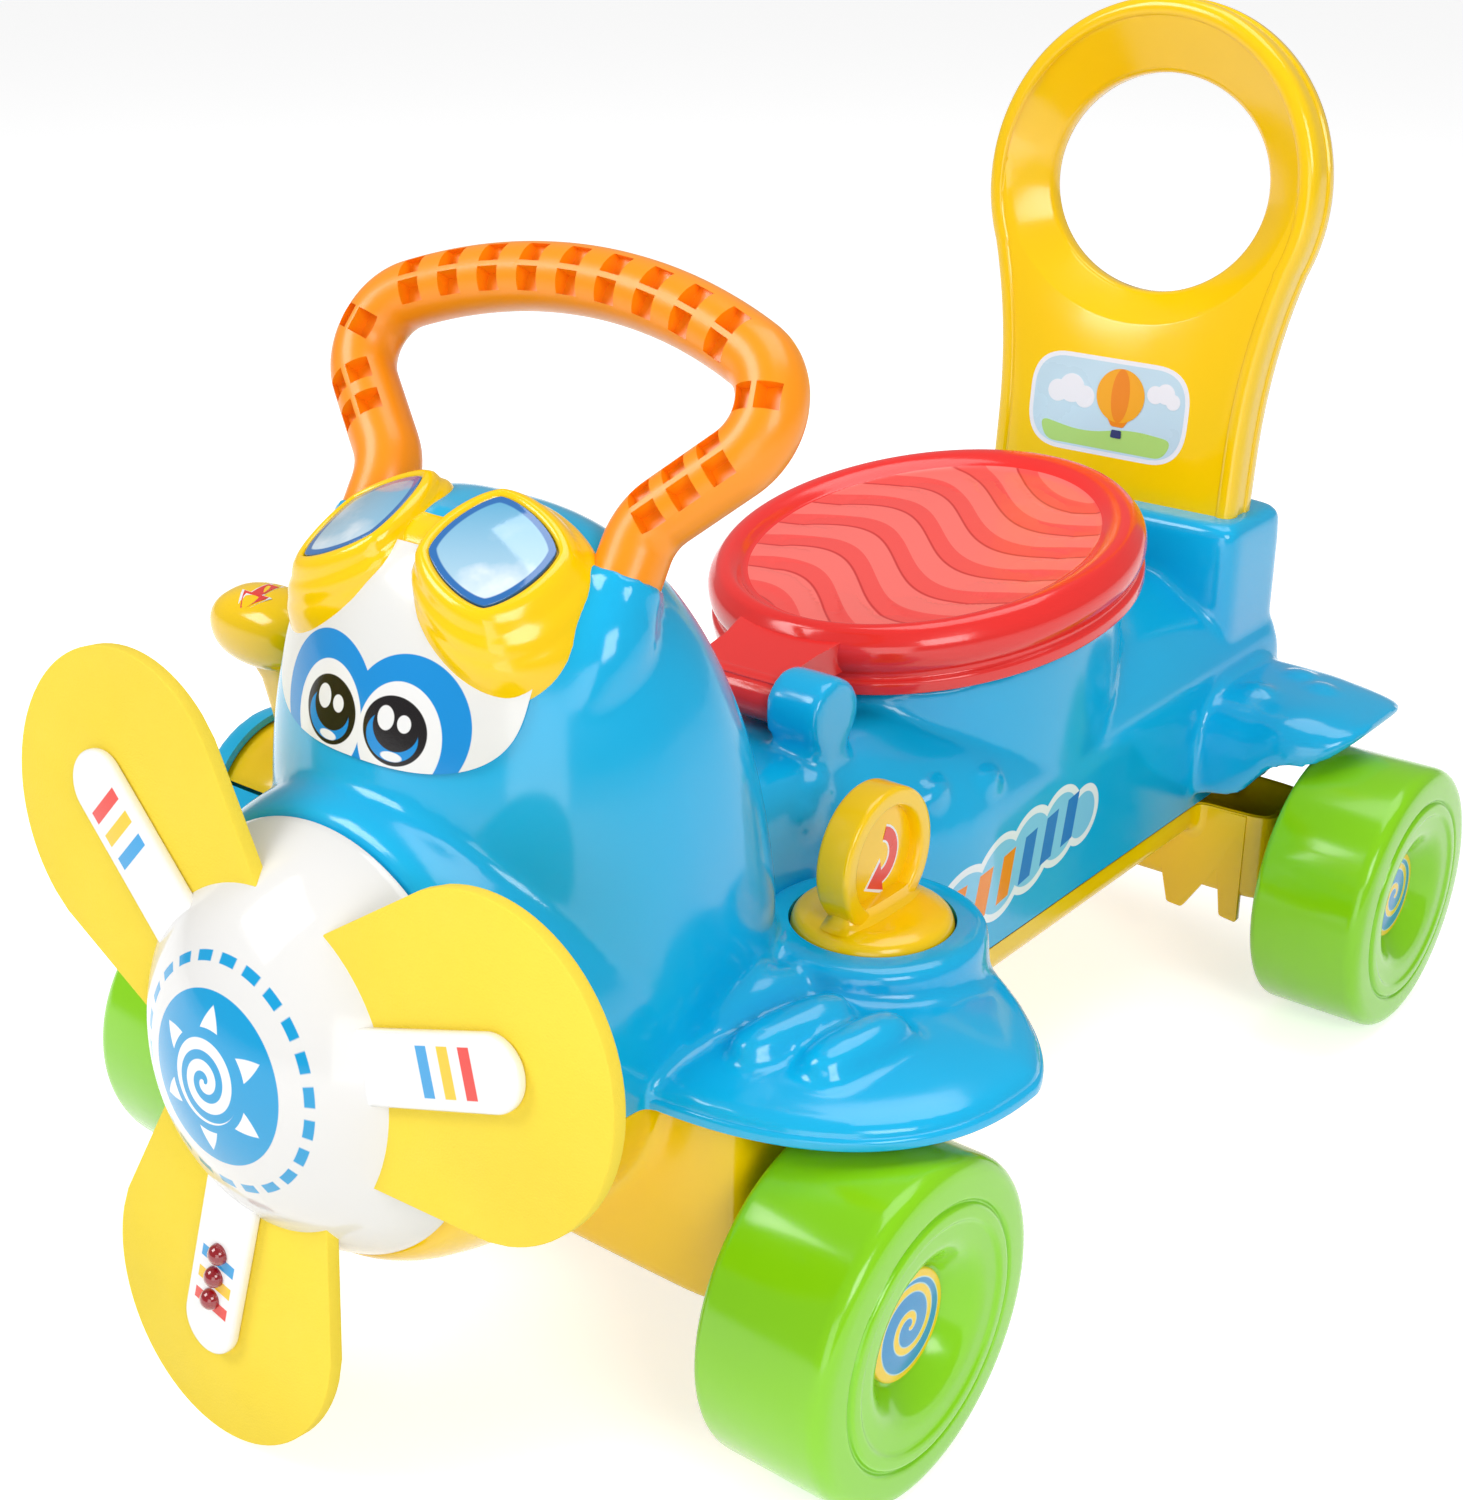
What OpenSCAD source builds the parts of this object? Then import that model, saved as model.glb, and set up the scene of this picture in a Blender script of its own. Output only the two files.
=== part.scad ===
// Ride on airplane toy for a small child, standing on its four wheels.
// X points to the toy's left, Y to its tail and Z up. The origin lies on the ground under its middle.

/* [Chassis] */
// Distance between the two axles
wheelbase = 374; // [355:1:395]
// Distance from the front axle to the foremost point of the spinner
nose_reach = 134; // [130:1:140]
// Distance between the outer faces of the wheels
track_w = 343; // [337:1:353]
// Radius of a wheel
wheel_r = 58; // [56:1:60]
// Width of a wheel
wheel_w = 51; // [48:1:54]
// Radius of the steel axle rods
axle_r = 4; // [3:0.5:5]
// Gap between the top of a wheel and the wing over it
arch_gap = 5; // [4:1:10]
// Wall of the moulded shells
wall = 3; // [2.5:0.5:4]
// Height of the underside of the belly
belly_z = 73; // [70:1:76]
// Depth of the yellow belly tray
belly_h = 13; // [11:1:16]
// Gap between an axle housing and the wheel beside it
housing_gap = 10.5; // [8:0.5:16]
// Lowest point of an axle housing above the ground
housing_z = 45; // [38:1:46]
// Lowest point of the toothed rear skirts above the ground
tooth_z = 26; // [22:1:32]

/* [Wheels] */
// Radius of the rounded shoulder of a wheel
shoulder_r = 9; // [7:1:11]
// Radius of the raised bead on the face of a wheel
bead_r = 44; // [40:1:46]
// Radius of the well around the hub cap
well_r = 31; // [29:1:34]
// Depth of the well around the hub cap
well_d = 13; // [10:1:16]
// Radius of a hub cap
cap_r = 20; // [18:1:23]

/* [Hood] */
// Half width of the hood
hood_w = 81; // [77:1:84]
// Half length of the hood
hood_l = 71; // [67:1:74]
// Height of the top of the hood
hood_top = 298; // [291:1:305]
// Height at which the hood starts to round over
hood_round_z = 165; // [155:1:175]

/* [Wings] */
// Half width of a front wing
wing_a = 102; // [98:1:106]
// Half length of a front wing
wing_b = 80; // [76:1:84]
// Rise of a front wing above its lip
wing_h = 12; // [10:1:16]
// Half width of a tail wing
tail_a = 80; // [74:1:84]
// Half length of a tail wing
tail_b = 69; // [64:1:70]
// Rise of a tail wing above its lip
tail_h = 28; // [22:1:32]
// Height of the lip around a wing
lip_h = 5; // [4:1:7]

/* [Fuselage] */
// Half width of the fuselage at its lower edge beside the seat
flank_w = 76; // [73:1:79]
// Half width of the fuselage at its lower edge behind the hood
neck_w = 58; // [55:1:60]
// Height of the fuselage deck
deck_z = 180; // [176:1:182]
// Half width of the backrest socket
socket_w = 67; // [65:1:72]
// Length of the backrest socket along the toy
socket_l = 56; // [50:1:58]
// Height of the top of the backrest socket
socket_z = 205; // [198:1:211]

/* [Seat] */
// Half width of the seat
seat_a = 82; // [78:1:86]
// Half length of the seat
seat_b = 98; // [94:1:102]
// Height of the seat's underside at its middle
seat_z = 199; // [195:1:203]
// Rise of the seat towards the tail
seat_tilt = 7; // [4:0.5:9]
// Thickness of the seat
seat_t = 26; // [22:1:30]
// Depth of the storage tub
tub_d = 100; // [80:1:106]
// Radius of the seat's hinge pin
pin_r = 3; // [2.5:0.25:4]
// Half width of the seat's hinge tongue
tongue_w = 21; // [18:1:24]

/* [Backrest] */
// Outer radius of the backrest ring
back_r = 79; // [76:1:82]
// Radius of the grip hole
hole_r = 52; // [46:1:54]
// Height of the middle of the grip hole
hole_z = 339; // [331:1:341]
// Thickness of the backrest
back_t = 22; // [20:1:25]
// Half width of the backrest at its foot
foot_w = 58; // [54:1:59]
// Backward lean of the backrest
back_lean = 6; // [3:0.5:6]

/* [Handlebar] */
// Radius of the handlebar tube
bar_r = 11; // [9:0.5:12]
// Distance of each handlebar leg from the middle
leg_x = 54; // [50:1:58]
// Height at which the legs leave the hood
leg_z = 286; // [281:1:289]
// Backward lean of the handlebar
bar_lean = 32; // [26:1:36]
// Radius of the lower bend
bend_r = 20; // [18:1:24]
// Length of the sloping part of a leg
leg_run = 26; // [23:1:30]
// Radius of the elbow
elbow_r = 20; // [18:1:24]
// Turn of the elbow
elbow_turn = 113; // [110:1:116]

/* [Propeller] */
// Upward tilt of the propeller axis
prop_tilt = 6.7; // [4:0.1:8]
// Height of the propeller hub
prop_z = 147; // [145:1:153]
// Radius of the spinner's dome
dome_r = 78; // [76:1:82]
// Distance from the plane of the arms back to the centre of the dome
dome_sink = 60; // [58:1:62]
// Distance from the plane of the arms back to the spinner's rim
dome_rim = 25; // [22:1:28]
// Distance from the axis to the tip of an arm
arm_reach = 112; // [106:1:116]
// Width of an arm
arm_w = 23; // [20:1:26]
// Thickness of an arm
arm_t = 4; // [3:0.5:5]
// Distance from the axis to the tip of a blade
blade_reach = 142; // [136:1:143]
// Half width of a blade
blade_w = 51; // [46:1:52]
// Thickness of a foam blade
blade_t = 5; // [4:0.5:6]
// Turn of the first blade from the toy's left at rest
blade_phase = 18; // [0:1:119]
// Radius of the propeller shaft
shaft_r = 4; // [3:0.5:5]

/* [Key and lever] */
// Distance of the key outside the fuselage
key_out = 33; // [30:1:36]
// Distance of the key behind the front axle
key_back = 76; // [72:1:80]
// Radius of the collar around the key
collar_r = 38; // [36:1:40]
// Height of the collar's top above the wing's lower edge
collar_h = 25; // [22:1:28]
// Radius of the key's base
key_r = 28; // [25:1:29]
// Outer radius of the key's ring
ring_r = 25; // [22:1:28]
// Distance of the lever inside the outer faces of the wheels
lever_in = 49.5; // [46:0.5:53]
// Distance of the lever's pivot behind the front axle
lever_back = 19; // [14:1:24]
// Radius of the lever housing
quadrant_r = 37; // [34:1:40]
// Width of the lever housing
quadrant_w = 56; // [52:1:60]
// Length of the lever from its pivot to its grip
lever_l = 80; // [72:1:88]
// Forward tilt of the lever at rest
lever_rest = 11; // [6:1:14]

/* [Face] */
// Half width of a goggle lens
lens_w = 18.7; // [16:0.1:20]
// Half height of a goggle lens
lens_h = 21.3; // [19:0.1:23]
// Depth of a goggle cup
cup_d = 34; // [30:1:36]
// Distance of a goggle lens from the middle
cup_x = 27.7; // [26:0.1:30]
// Upward turn of a goggle lens
cup_turn = 30; // [24:1:36]
// Outward turn of a goggle lens
cup_splay = 35; // [28:1:40]
// Half width of the eye plate
plate_w = 52; // [48:1:56]

/* [Sound unit] */
// Half width of the battery box
box_w = 40; // [34:1:46]
// Length of the battery box
box_l = 62; // [58:1:70]
// Height of the battery box
box_h = 24; // [20:1:28]
// Radius of a battery cell
cell_r = 7.1; // [7:0.1:7.3]
// Radius of the loudspeaker
speaker_r = 25; // [20:1:28]

/* [Hidden] */
// Gap between a turning piece and the pieces beside it
gap = 0.4;
// Radial clearance of a running fit
run = 0.06;
// Radial clearance of a seated fit
seat_fit = 0.03;
// Radius, head radius and head height of a screw
screw_r = 1.8;
screw_head = 3.6;
head_t = 2;
sides = 40;
steps = 7;

half_len = (wheel_r + wheelbase + nose_reach) / 2;
rear_y = half_len - wheel_r;
front_y = rear_y - wheelbase;
axle_z = wheel_r;
rim_z = 2 * wheel_r + arch_gap;
tray_z = belly_z + belly_h;
wheel_x = track_w / 2 - wheel_w / 2;
housing_x = track_w / 2 - wheel_w - housing_gap;

hub_y = -half_len + dome_r - dome_sink * cos(prop_tilt);
nose_gap = 2;
bulkhead = dome_rim + nose_gap;
hood_y = front_y - 2;
hood_nod = 10;
hood_taper = 0.25;
front_box_l = 56;
rear_box_l = 44;
join_y = front_y + front_box_l / 2 + gap;
key_x = neck_w + key_out;
key_y = front_y + key_back;
lever_x = track_w / 2 - lever_in;
lever_y = front_y + lever_back;
lever_z = rim_z + 24;
wing_y = front_y + 50;
wing_x = track_w / 2 - wing_a;

seat_y = rear_y - 130;
hinge_y = seat_y - seat_b - 27;
hinge_z = seat_z - 5;
boss_r = 14;
boss_w = 23;
barrel_r = 9;
tub_a = seat_a - 14;
tub_b = seat_b - 14;
pedestal_a = seat_a - 8;
pedestal_b = seat_b - 8;
lid_gap = 0.5;
tub_flange = 2;

tail_y = rear_y - 10;
tail_x = flank_w - 14;
back_y = rear_y + 24;
socket_y = back_y + 3;
tenon_d = 45;
body_end = socket_y + socket_l / 2;

BLUE = [0.05, 0.66, 0.86];
YELLOW = [1, 0.82, 0.05];
FOAM = [0.97, 0.88, 0.3];
GREEN = [0.48, 0.82, 0.08];
RED = [0.93, 0.27, 0.25];
ORANGE = [1, 0.52, 0.05];
WHITE = [0.95, 0.95, 0.95];
STEEL = [0.7, 0.71, 0.73];

SIDES = [["left", 1], ["right", -1]];
AXLES = [["front", front_y], ["rear", rear_y]];
BLADES = [1, 2, 3];

$fn = 64;

// A closed ring of points on a superellipse, counter-clockwise from above
function oval(c, a, b, p, z) =
  [for (i = [0 : sides - 1]) let (u = cos(360 * i / sides), v = sin(360 * i / sides))
    [c.x + a * sign(u) * pow(abs(u), 2 / p), c.y + b * sign(v) * pow(abs(v), 2 / p), z]];

// A plane outline of a superellipse
function outline(a, b, p) = [for (q = oval([0, 0], a, b, p, 0)) [q.x, q.y]];

// A closed skin through rings of points, from the lowest to the last
module loft(rings) {
  n = len(rings[0]);
  m = len(rings);
  polyhedron(
    points = [for (r = rings, q = r) q],
    faces = concat(
      [[for (i = [0 : n - 1]) i]],
      [[for (i = [n - 1 : -1 : 0]) (m - 1) * n + i]],
      [for (k = [0 : m - 2], i = [0 : n - 1], h = [0, 1]) let (a = k * n + i, b = k * n + (i + 1) % n)
        h == 0 ? [a, a + n, b + n] : [a, b + n, b]]));
}

// Share of the hood's width left at a height above the place where it starts to round over
function hood_share(t) = pow(max(0, 1 - pow(t, 2.6)), 1 / 2.6);

// Skin of the hood, grown by d on every side
module hood_skin(d, z0) {
  rise = hood_top + d - hood_round_z;
  tops = [for (i = [1 : steps + 2]) sin(90 * i / (steps + 3))];
  loft(concat(
    [for (z = [z0, hood_round_z]) oval([0, hood_y], hood_w + d, hood_l + d, 2.5, z)],
    [for (t = tops) oval([0, hood_y - hood_nod * t], (hood_w + d) * hood_share(t),
      (hood_l + d) * hood_share(t) * (1 - hood_taper * t), 2.5, hood_round_z + rise * t)]));
}

// A wing like half a flattened dome with a straight lip, grown by d on every side
module wing_skin(c, a, b, h, d, z0) {
  loft(concat(
    [for (z = [z0, rim_z + lip_h]) oval(c, a + d, b + d, 2.4, z)],
    [for (i = [1 : steps - 1]) let (u = 90 * i / steps)
      oval(c, (a + d) * cos(u), (b + d) * cos(u), 2.4, rim_z + lip_h + (h + d) * sin(u))]));
}

// A front wing from its root inside the hood outwards, grown by d
wing_root = 22;
module front_wing(s, d, z0) {
  intersection() {
    wing_skin([s * wing_x, wing_y], wing_a, wing_b, wing_h, d, z0);
    translate([s * (200 + wing_root), wing_y, rim_z]) cube(400, center = true);
  }
}

// Frame of the propeller: Z forward along its axis, from the plane of the arms
module on_axis() { translate([0, hub_y, prop_z]) rotate([90 - prop_tilt, 0, 0]) children(); }

// Solid of the nose behind the spinner, shrunk by d
module nose_body(d) {
  rim = sqrt(pow(dome_r, 2) - pow(dome_sink - dome_rim, 2)) + 2;
  on_axis() rotate_extrude() polygon([[0, -bulkhead - d], [rim - d, -bulkhead - d], 
    [rim + 5 - d, -bulkhead - 9], [rim + 8 - d, -bulkhead - 23], [rim + 10 - d, -bulkhead - 48], [rim + 10 - d, -bulkhead - 75],
    [0, -bulkhead - 75]]);
}

// Everything above or below a height
module above(z) { translate([-400, -400, z]) cube(800); }
module below(z) { translate([-400, -400, z - 800]) cube(800); }

// Half of the fuselage's cross-section behind the hood and beside the seat, from its lower edge up:
// inset from the lower edge, height and share of the growth that goes upwards
neck_steps = [[0, tray_z, -1], [4, deck_z - 39, 0], [8, deck_z - 26, 0.2], [11, deck_z - 16, 0.4],
  [13, deck_z - 8, 0.7], [20, deck_z, 1]];
flank_steps = [[0, tray_z, -1], [1.5, deck_z - 39, 0], [7, deck_z - 26, 0.3], [16, deck_z - 16, 0.6],
  [29, deck_z - 8, 0.9], [40, deck_z, 1]];
neck_end = hinge_y - 25;
wide_from = seat_y - 75;

// A closed ring of the fuselage's cross-section at a place along the toy, grown by d
function fuselage_ring(y, w, form, d) = let (half = [for (q = form) [w + d - q[0], q[1] + d * q[2]]])
  concat([for (q = half) [-q.x, y, q.y]], [for (i = [len(half) - 1 : -1 : 0]) [half[i].x, y, half[i].y]]);

// Fuselage that widens from the hood to the seat, grown by d
module fuselage(d, y0, y1) {
  loft([fuselage_ring(y0, neck_w, neck_steps, d), fuselage_ring(neck_end, neck_w, neck_steps, d),
    fuselage_ring(wide_from, flank_w, flank_steps, d), fuselage_ring(y1, flank_w, flank_steps, d)]);
}

// Plan of the fuselage between two places along the toy, shrunk by d on its sides
module fuselage_plan(d, y0, y1) {
  polygon([[-neck_w + d, y0], [neck_w - d, y0], [neck_w - d, neck_end], [flank_w - d, wide_from],
    [flank_w - d, y1], [-flank_w + d, y1], [-flank_w + d, wide_from], [-neck_w + d, neck_end]]);
}

// Frame of the seat: Z square to the seat, from the middle of its underside
module on_seat() { translate([0, seat_y, seat_z]) rotate([seat_tilt, 0, 0]) children(); }

// Frame of the backrest: Z up along its leaning middle plane, from the top of the socket
module on_back() { translate([0, back_y, socket_z]) rotate([-back_lean, 0, 0]) children(); }

// Outline of the backrest seen from the front, in its own plane
module back_outline(d) {
  ring_z = (hole_z - socket_z) / cos(back_lean);
  translate([0, ring_z]) circle(back_r + d);
  side = asin((back_r - foot_w) / ring_z);
  polygon([[-foot_w - d, -tenon_d - d], [foot_w + d, -tenon_d - d], [foot_w + d, 0],
    [(back_r + d) * cos(side), ring_z - back_r * sin(side)], [-(back_r + d) * cos(side),
      ring_z - back_r * sin(side)],
    [-foot_w - d, 0]]);
}

// Frame of the handlebar: X to the toy's left, Y up along its lean, from the level of the legs' feet
module on_bar() { translate([0, front_y - 0.7, leg_z]) rotate([90 - bar_lean, 0, 0]) children(); }

foot_s = 2;
sink_s = 28;
run_x = leg_x + bend_r * (1 - cos(45));
run_s = foot_s + bend_r * sin(45);
elbow_cx = run_x + leg_run * cos(45) - elbow_r * cos(45);
elbow_cs = run_s + leg_run * sin(45) + elbow_r * sin(45);
top_from = elbow_turn - 45;
top_r = (elbow_cx + elbow_r * cos(top_from)) / cos(top_from);
top_cs = elbow_cs + elbow_r * sin(top_from) - top_r * sin(top_from);

// Stations along the left half of the handlebar, from the foot to the middle: X, Y and heading
bar_half = concat(
  [[leg_x, -sink_s, 90]],
  [for (i = [0 : 4]) let (t = 180 - 45 * i / 4)
    [leg_x + bend_r + bend_r * cos(t), foot_s + bend_r * sin(t), t - 90]],
  [for (i = [0 : 10]) let (t = -45 + elbow_turn * i / 10)
    [elbow_cx + elbow_r * cos(t), elbow_cs + elbow_r * sin(t), t + 90]],
  [for (i = [1 : 7]) let (t = top_from + (90 - top_from) * i / 7)
    [top_r * cos(t), top_cs + top_r * sin(t), t + 90]]);
bar_path = concat(bar_half, [for (i = [len(bar_half) - 2 : -1 : 0]) [-bar_half[i].x, bar_half[i].y,
  -bar_half[i].z]]);
bar_sides = 20;

// A pair of window pockets in the tube, at a place and turn in the plane of the handlebar
pocket = 7;
pocket_rib = 2;
module window_pair(x, s, turn) {
  translate([x, s, 0]) rotate(turn) for (i = [-1, 1])
    translate([-pocket / 2, i * (pocket + pocket_rib) / 2 - pocket / 2, 2]) cube([pocket, pocket, bar_r]);
}

// The whole tube of the handlebar, swept along its stations
module bar_tube(r) {
  on_bar() loft([for (q = bar_path) [for (i = [0 : bar_sides - 1]) let (u = -360 * i / bar_sides)
    [q.x - r * cos(u) * sin(q.z), q.y + r * cos(u) * cos(q.z), r * sin(u)]]]);
}

module handlebar() {
  color(ORANGE) difference() {
    bar_tube(bar_r);
    on_bar() {
      for (i = [-4 : 4]) let (t = 90 + i * (90 - top_from) / 4.4)
        window_pair(top_r * cos(t), top_cs + top_r * sin(t), t - 90);
      for (m = [0, 1]) mirror([m, 0, 0]) {
        window_pair(elbow_cx + elbow_r * cos(12), elbow_cs + elbow_r * sin(12), 102);
        for (i = [0 : 2]) let (u = i * leg_run / 2)
          window_pair(run_x + (u - 2) * cos(45), run_s + (u - 2) * sin(45), 45);
        translate([leg_x, 6 - sink_s, 0]) rotate([0, 90, 0]) cylinder(r = screw_r + seat_fit, h = 60,
          center = true);
      }
    }
  }
}

// Screws that cross the feet of the handlebar inside its sockets
module handlebar_screws() {
  color(STEEL) on_bar() for (m = [0, 1]) mirror([m, 0, 0]) translate([leg_x, 6 - sink_s, 0]) rotate([0,
    90, 0]) {
    translate([0, 0, -bar_r]) cylinder(r = screw_r, h = 2 * bar_r + wall);
  }
}

// Socket around a foot of the handlebar
module bar_socket(r, extra) {
  on_bar() for (m = [0, 1]) mirror([m, 0, 0])
    translate([leg_x, -sink_s - extra, 0]) rotate([-90, 0, 0]) cylinder(r = r, h = sink_s + 2 * extra);
}

// Rounded collar that holds the key
module key_collar() {
  translate([key_x, key_y, rim_z]) rotate_extrude() polygon([[0, collar_z], [collar_r + 3, collar_z],
    [collar_r, collar_h - 4],
    [collar_r - 1.2, collar_h - 1.2], [collar_r - 4, collar_h], [0, collar_h]]);
}

// Half drum that holds the lever
module lever_drum(r, w, z0) {
  translate([-lever_x, lever_y, 0]) intersection() {
    translate([-w / 2, 0, lever_z]) rotate([0, 90, 0]) cylinder(r = r, h = w);
    translate([-w, -2 * r, z0]) cube([2 * w, 4 * r, 3 * r]);
  }
}

slot_w = 34;
slot_turn = 58;
slot_in = 14;
collar_z = 4;
key_floor = 8;
spindle_r = 6;
lever_pin_r = 3;
screw_posts = [for (s = [-1, 1], q = [[front_y - 14, 0.5], [front_y + 16, 0.8]])
  [s * (housing_x - 14), q.x, lip_h + wing_h * q.y]];

module front_shell() {
  color(BLUE) difference() {
    intersection() {
      union() {
        difference() {
          union() {
            hood_skin(0, rim_z - 1);
            nose_body(0);
            for (s = [-1, 1]) front_wing(s, 0, rim_z - 1.5);
          }
          hood_skin(-wall, rim_z - 2);
          nose_body(wall);
          for (s = [-1, 1]) front_wing(s, -wall, rim_z - 2.5);
        }
        key_collar();
        lever_drum(quadrant_r, quadrant_w, rim_z + lip_h);
        bar_socket(bar_r + 4, 0);
        for (p = screw_posts) translate([p.x, p.y, rim_z]) cylinder(r = 6, h = p.z);
      }
      above(rim_z);
    }
    // Place of the key and its spindle
    translate([key_x, key_y, rim_z + key_floor]) cylinder(r = key_r + gap, h = collar_h);
    translate([key_x, key_y, rim_z - 1]) cylinder(r = spindle_r + run, h = collar_h);
    // Cavity, slot and pin bore of the lever
    lever_drum(quadrant_r - wall, quadrant_w - 2 * wall, rim_z - 1);
    translate([-lever_x, lever_y, lever_z]) rotate([90, 0, 90]) linear_extrude(slot_w, center = true)
      polygon(concat(
      [for (i = [-4 : 4]) let (t = slot_turn * i / 4) (quadrant_r + 5) * [sin(t), cos(t)]],
      [for (i = [1, -1]) slot_in * [i * sin(slot_turn), cos(slot_turn)]]));
    translate([-lever_x, lever_y, lever_z]) rotate([0, 90, 0])
      cylinder(r = lever_pin_r + seat_fit, h = quadrant_w + 4, center = true);
    // Sockets, bores and the way of the fuselage
    bar_socket(bar_r + seat_fit, 0.02);
    on_bar() for (m = [0, 1]) mirror([m, 0, 0]) translate([leg_x, 6 - sink_s, 0]) rotate([0, 90, 0])
      cylinder(r = screw_r + seat_fit, h = 2 * bar_r + 20, center = true);
    on_axis() translate([0, 0, -bulkhead - 40]) cylinder(r = 10 + seat_fit, h = 60);
    fuselage(gap, join_y - 2, body_end);
    for (p = screw_posts) translate([p.x, p.y, rim_z - 1]) cylinder(r = screw_r + seat_fit, h = 10);
  }
}

rear_posts = [for (s = [-1, 1], q = [[neck_w, join_y + 12], [flank_w, rear_y - 60]]) [s * (q.x - 8), q.y]];
back_screw_x = 30;

module rear_shell() {
  color(BLUE) difference() {
    union() {
      difference() {
        union() {
          fuselage(0, join_y, body_end);
          intersection() {
            translate([0, seat_y, tray_z]) linear_extrude(160) polygon(outline(pedestal_a, pedestal_b, 2));
            on_seat() translate([0, 0, -tub_flange - lid_gap]) below(0);
          }
          translate([-socket_w, socket_y - socket_l / 2, tray_z]) cube([2 * socket_w, socket_l,
            socket_z - tray_z]);
          for (s = [-1, 1]) wing_skin([s * tail_x, tail_y], tail_a, tail_b, tail_h, 0, rim_z);
        }
        difference() {
          union() {
            fuselage(-wall, join_y + wall, body_end - wall);
            translate([0, seat_y, tray_z]) linear_extrude(160) polygon(outline(pedestal_a - wall,
              pedestal_b - wall, 2));
            for (s = [-1, 1]) wing_skin([s * tail_x, tail_y], tail_a, tail_b, tail_h, -wall, rim_z - 1);
          }
          // Floor and walls of the backrest socket
          translate([-socket_w, socket_y - socket_l / 2, socket_z - tenon_d - 12]) cube([2 * socket_w,
            socket_l, 60]);
        }
        translate([0, 0, tray_z - 1]) linear_extrude(4) fuselage_plan(wall + 1, join_y + wall,
          body_end - wall);
      }
      // Bosses that carry the seat's hinge pin
      for (s = [-1, 1]) translate([s * (tongue_w + gap + boss_w / 2), hinge_y, hinge_z]) {
        rotate([0, 90, 0]) cylinder(r = boss_r, h = boss_w, center = true);
        translate([-boss_w / 2, -boss_r, deck_z - hinge_z - wall]) cube([boss_w, 2 * boss_r,
          hinge_z - deck_z + wall]);
      }
      for (p = rear_posts) translate([p.x, p.y, tray_z]) cylinder(r = 6, h = 26);
    }
    translate([0, hinge_y, hinge_z]) rotate([0, 90, 0]) cylinder(r = pin_r + seat_fit, h = 2 * flank_w,
      center = true);
    on_back() rotate([90, 0, 0]) linear_extrude(back_t + 2 * gap, center = true)
      polygon([[-foot_w - gap, -tenon_d], [foot_w + gap, -tenon_d], [foot_w + gap, 30], [-foot_w - gap,
        30]]);
    for (s = [-1, 1]) translate([s * back_screw_x, body_end + 1, socket_z - 25]) rotate([90, 0, 0])
      cylinder(r = screw_r + seat_fit, h = socket_l);
    for (p = rear_posts) translate([p.x, p.y, tray_z - 1]) cylinder(r = screw_r + seat_fit, h = 20);
  }
}

// Hollow backrest, open at its foot, with a boss around each screw
module backrest() {
  ring_z = (hole_z - socket_z) / cos(back_lean);
  color(YELLOW) difference() {
    on_back() rotate([90, 0, 0]) difference() {
      linear_extrude(back_t, center = true) difference() {
        back_outline(0);
        translate([0, ring_z]) circle(hole_r);
      }
      linear_extrude(back_t - 2 * wall, center = true) difference() {
        union() {
          back_outline(-wall);
          translate([-foot_w + wall, -tenon_d - 1]) square([2 * (foot_w - wall), 2 * wall]);
        }
        translate([0, ring_z]) circle(hole_r + wall);
        for (s = [-1, 1]) translate([s * back_screw_x - 6, -40]) square([12, 30]);
      }
    }
    for (s = [-1, 1]) translate([s * back_screw_x, body_end + 1, socket_z - 25]) rotate([90, 0, 0])
      cylinder(r = screw_r + seat_fit, h = socket_l / 2 + 3);
  }
}

// Screws through the back of the socket into the foot of the backrest
module backrest_screws() {
  color(STEEL) for (s = [-1, 1]) translate([s * back_screw_x, body_end, socket_z - 25]) rotate([90, 0, 0]) {
    cylinder(r = screw_r, h = 26);
    translate([0, 0, -head_t]) cylinder(r = screw_head, h = head_t);
  }
}

// Teeth of a rear skirt seen from the front
skirt_x = flank_w + 22;
module skirt_outline() {
  inner = flank_w - 18;
  half = (skirt_x - inner) / 2;
  polygon([[inner, tray_z - 1], [inner, housing_z + 6], [inner + half / 2, tooth_z], [inner + half,
    housing_z + 8],
    [inner + 1.5 * half, tooth_z], [skirt_x, housing_z + 6], [skirt_x, tray_z - 1]]);
}

// Hollow box of an axle housing with closed ends and floor
module housing(y, l, z1, d) {
  translate([-housing_x + d, y - l / 2 + d, housing_z + d])
    cube([2 * (housing_x - d), l - 2 * d, z1 - housing_z - 2 * d]);
}

axle_tube_r = 9;

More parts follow.
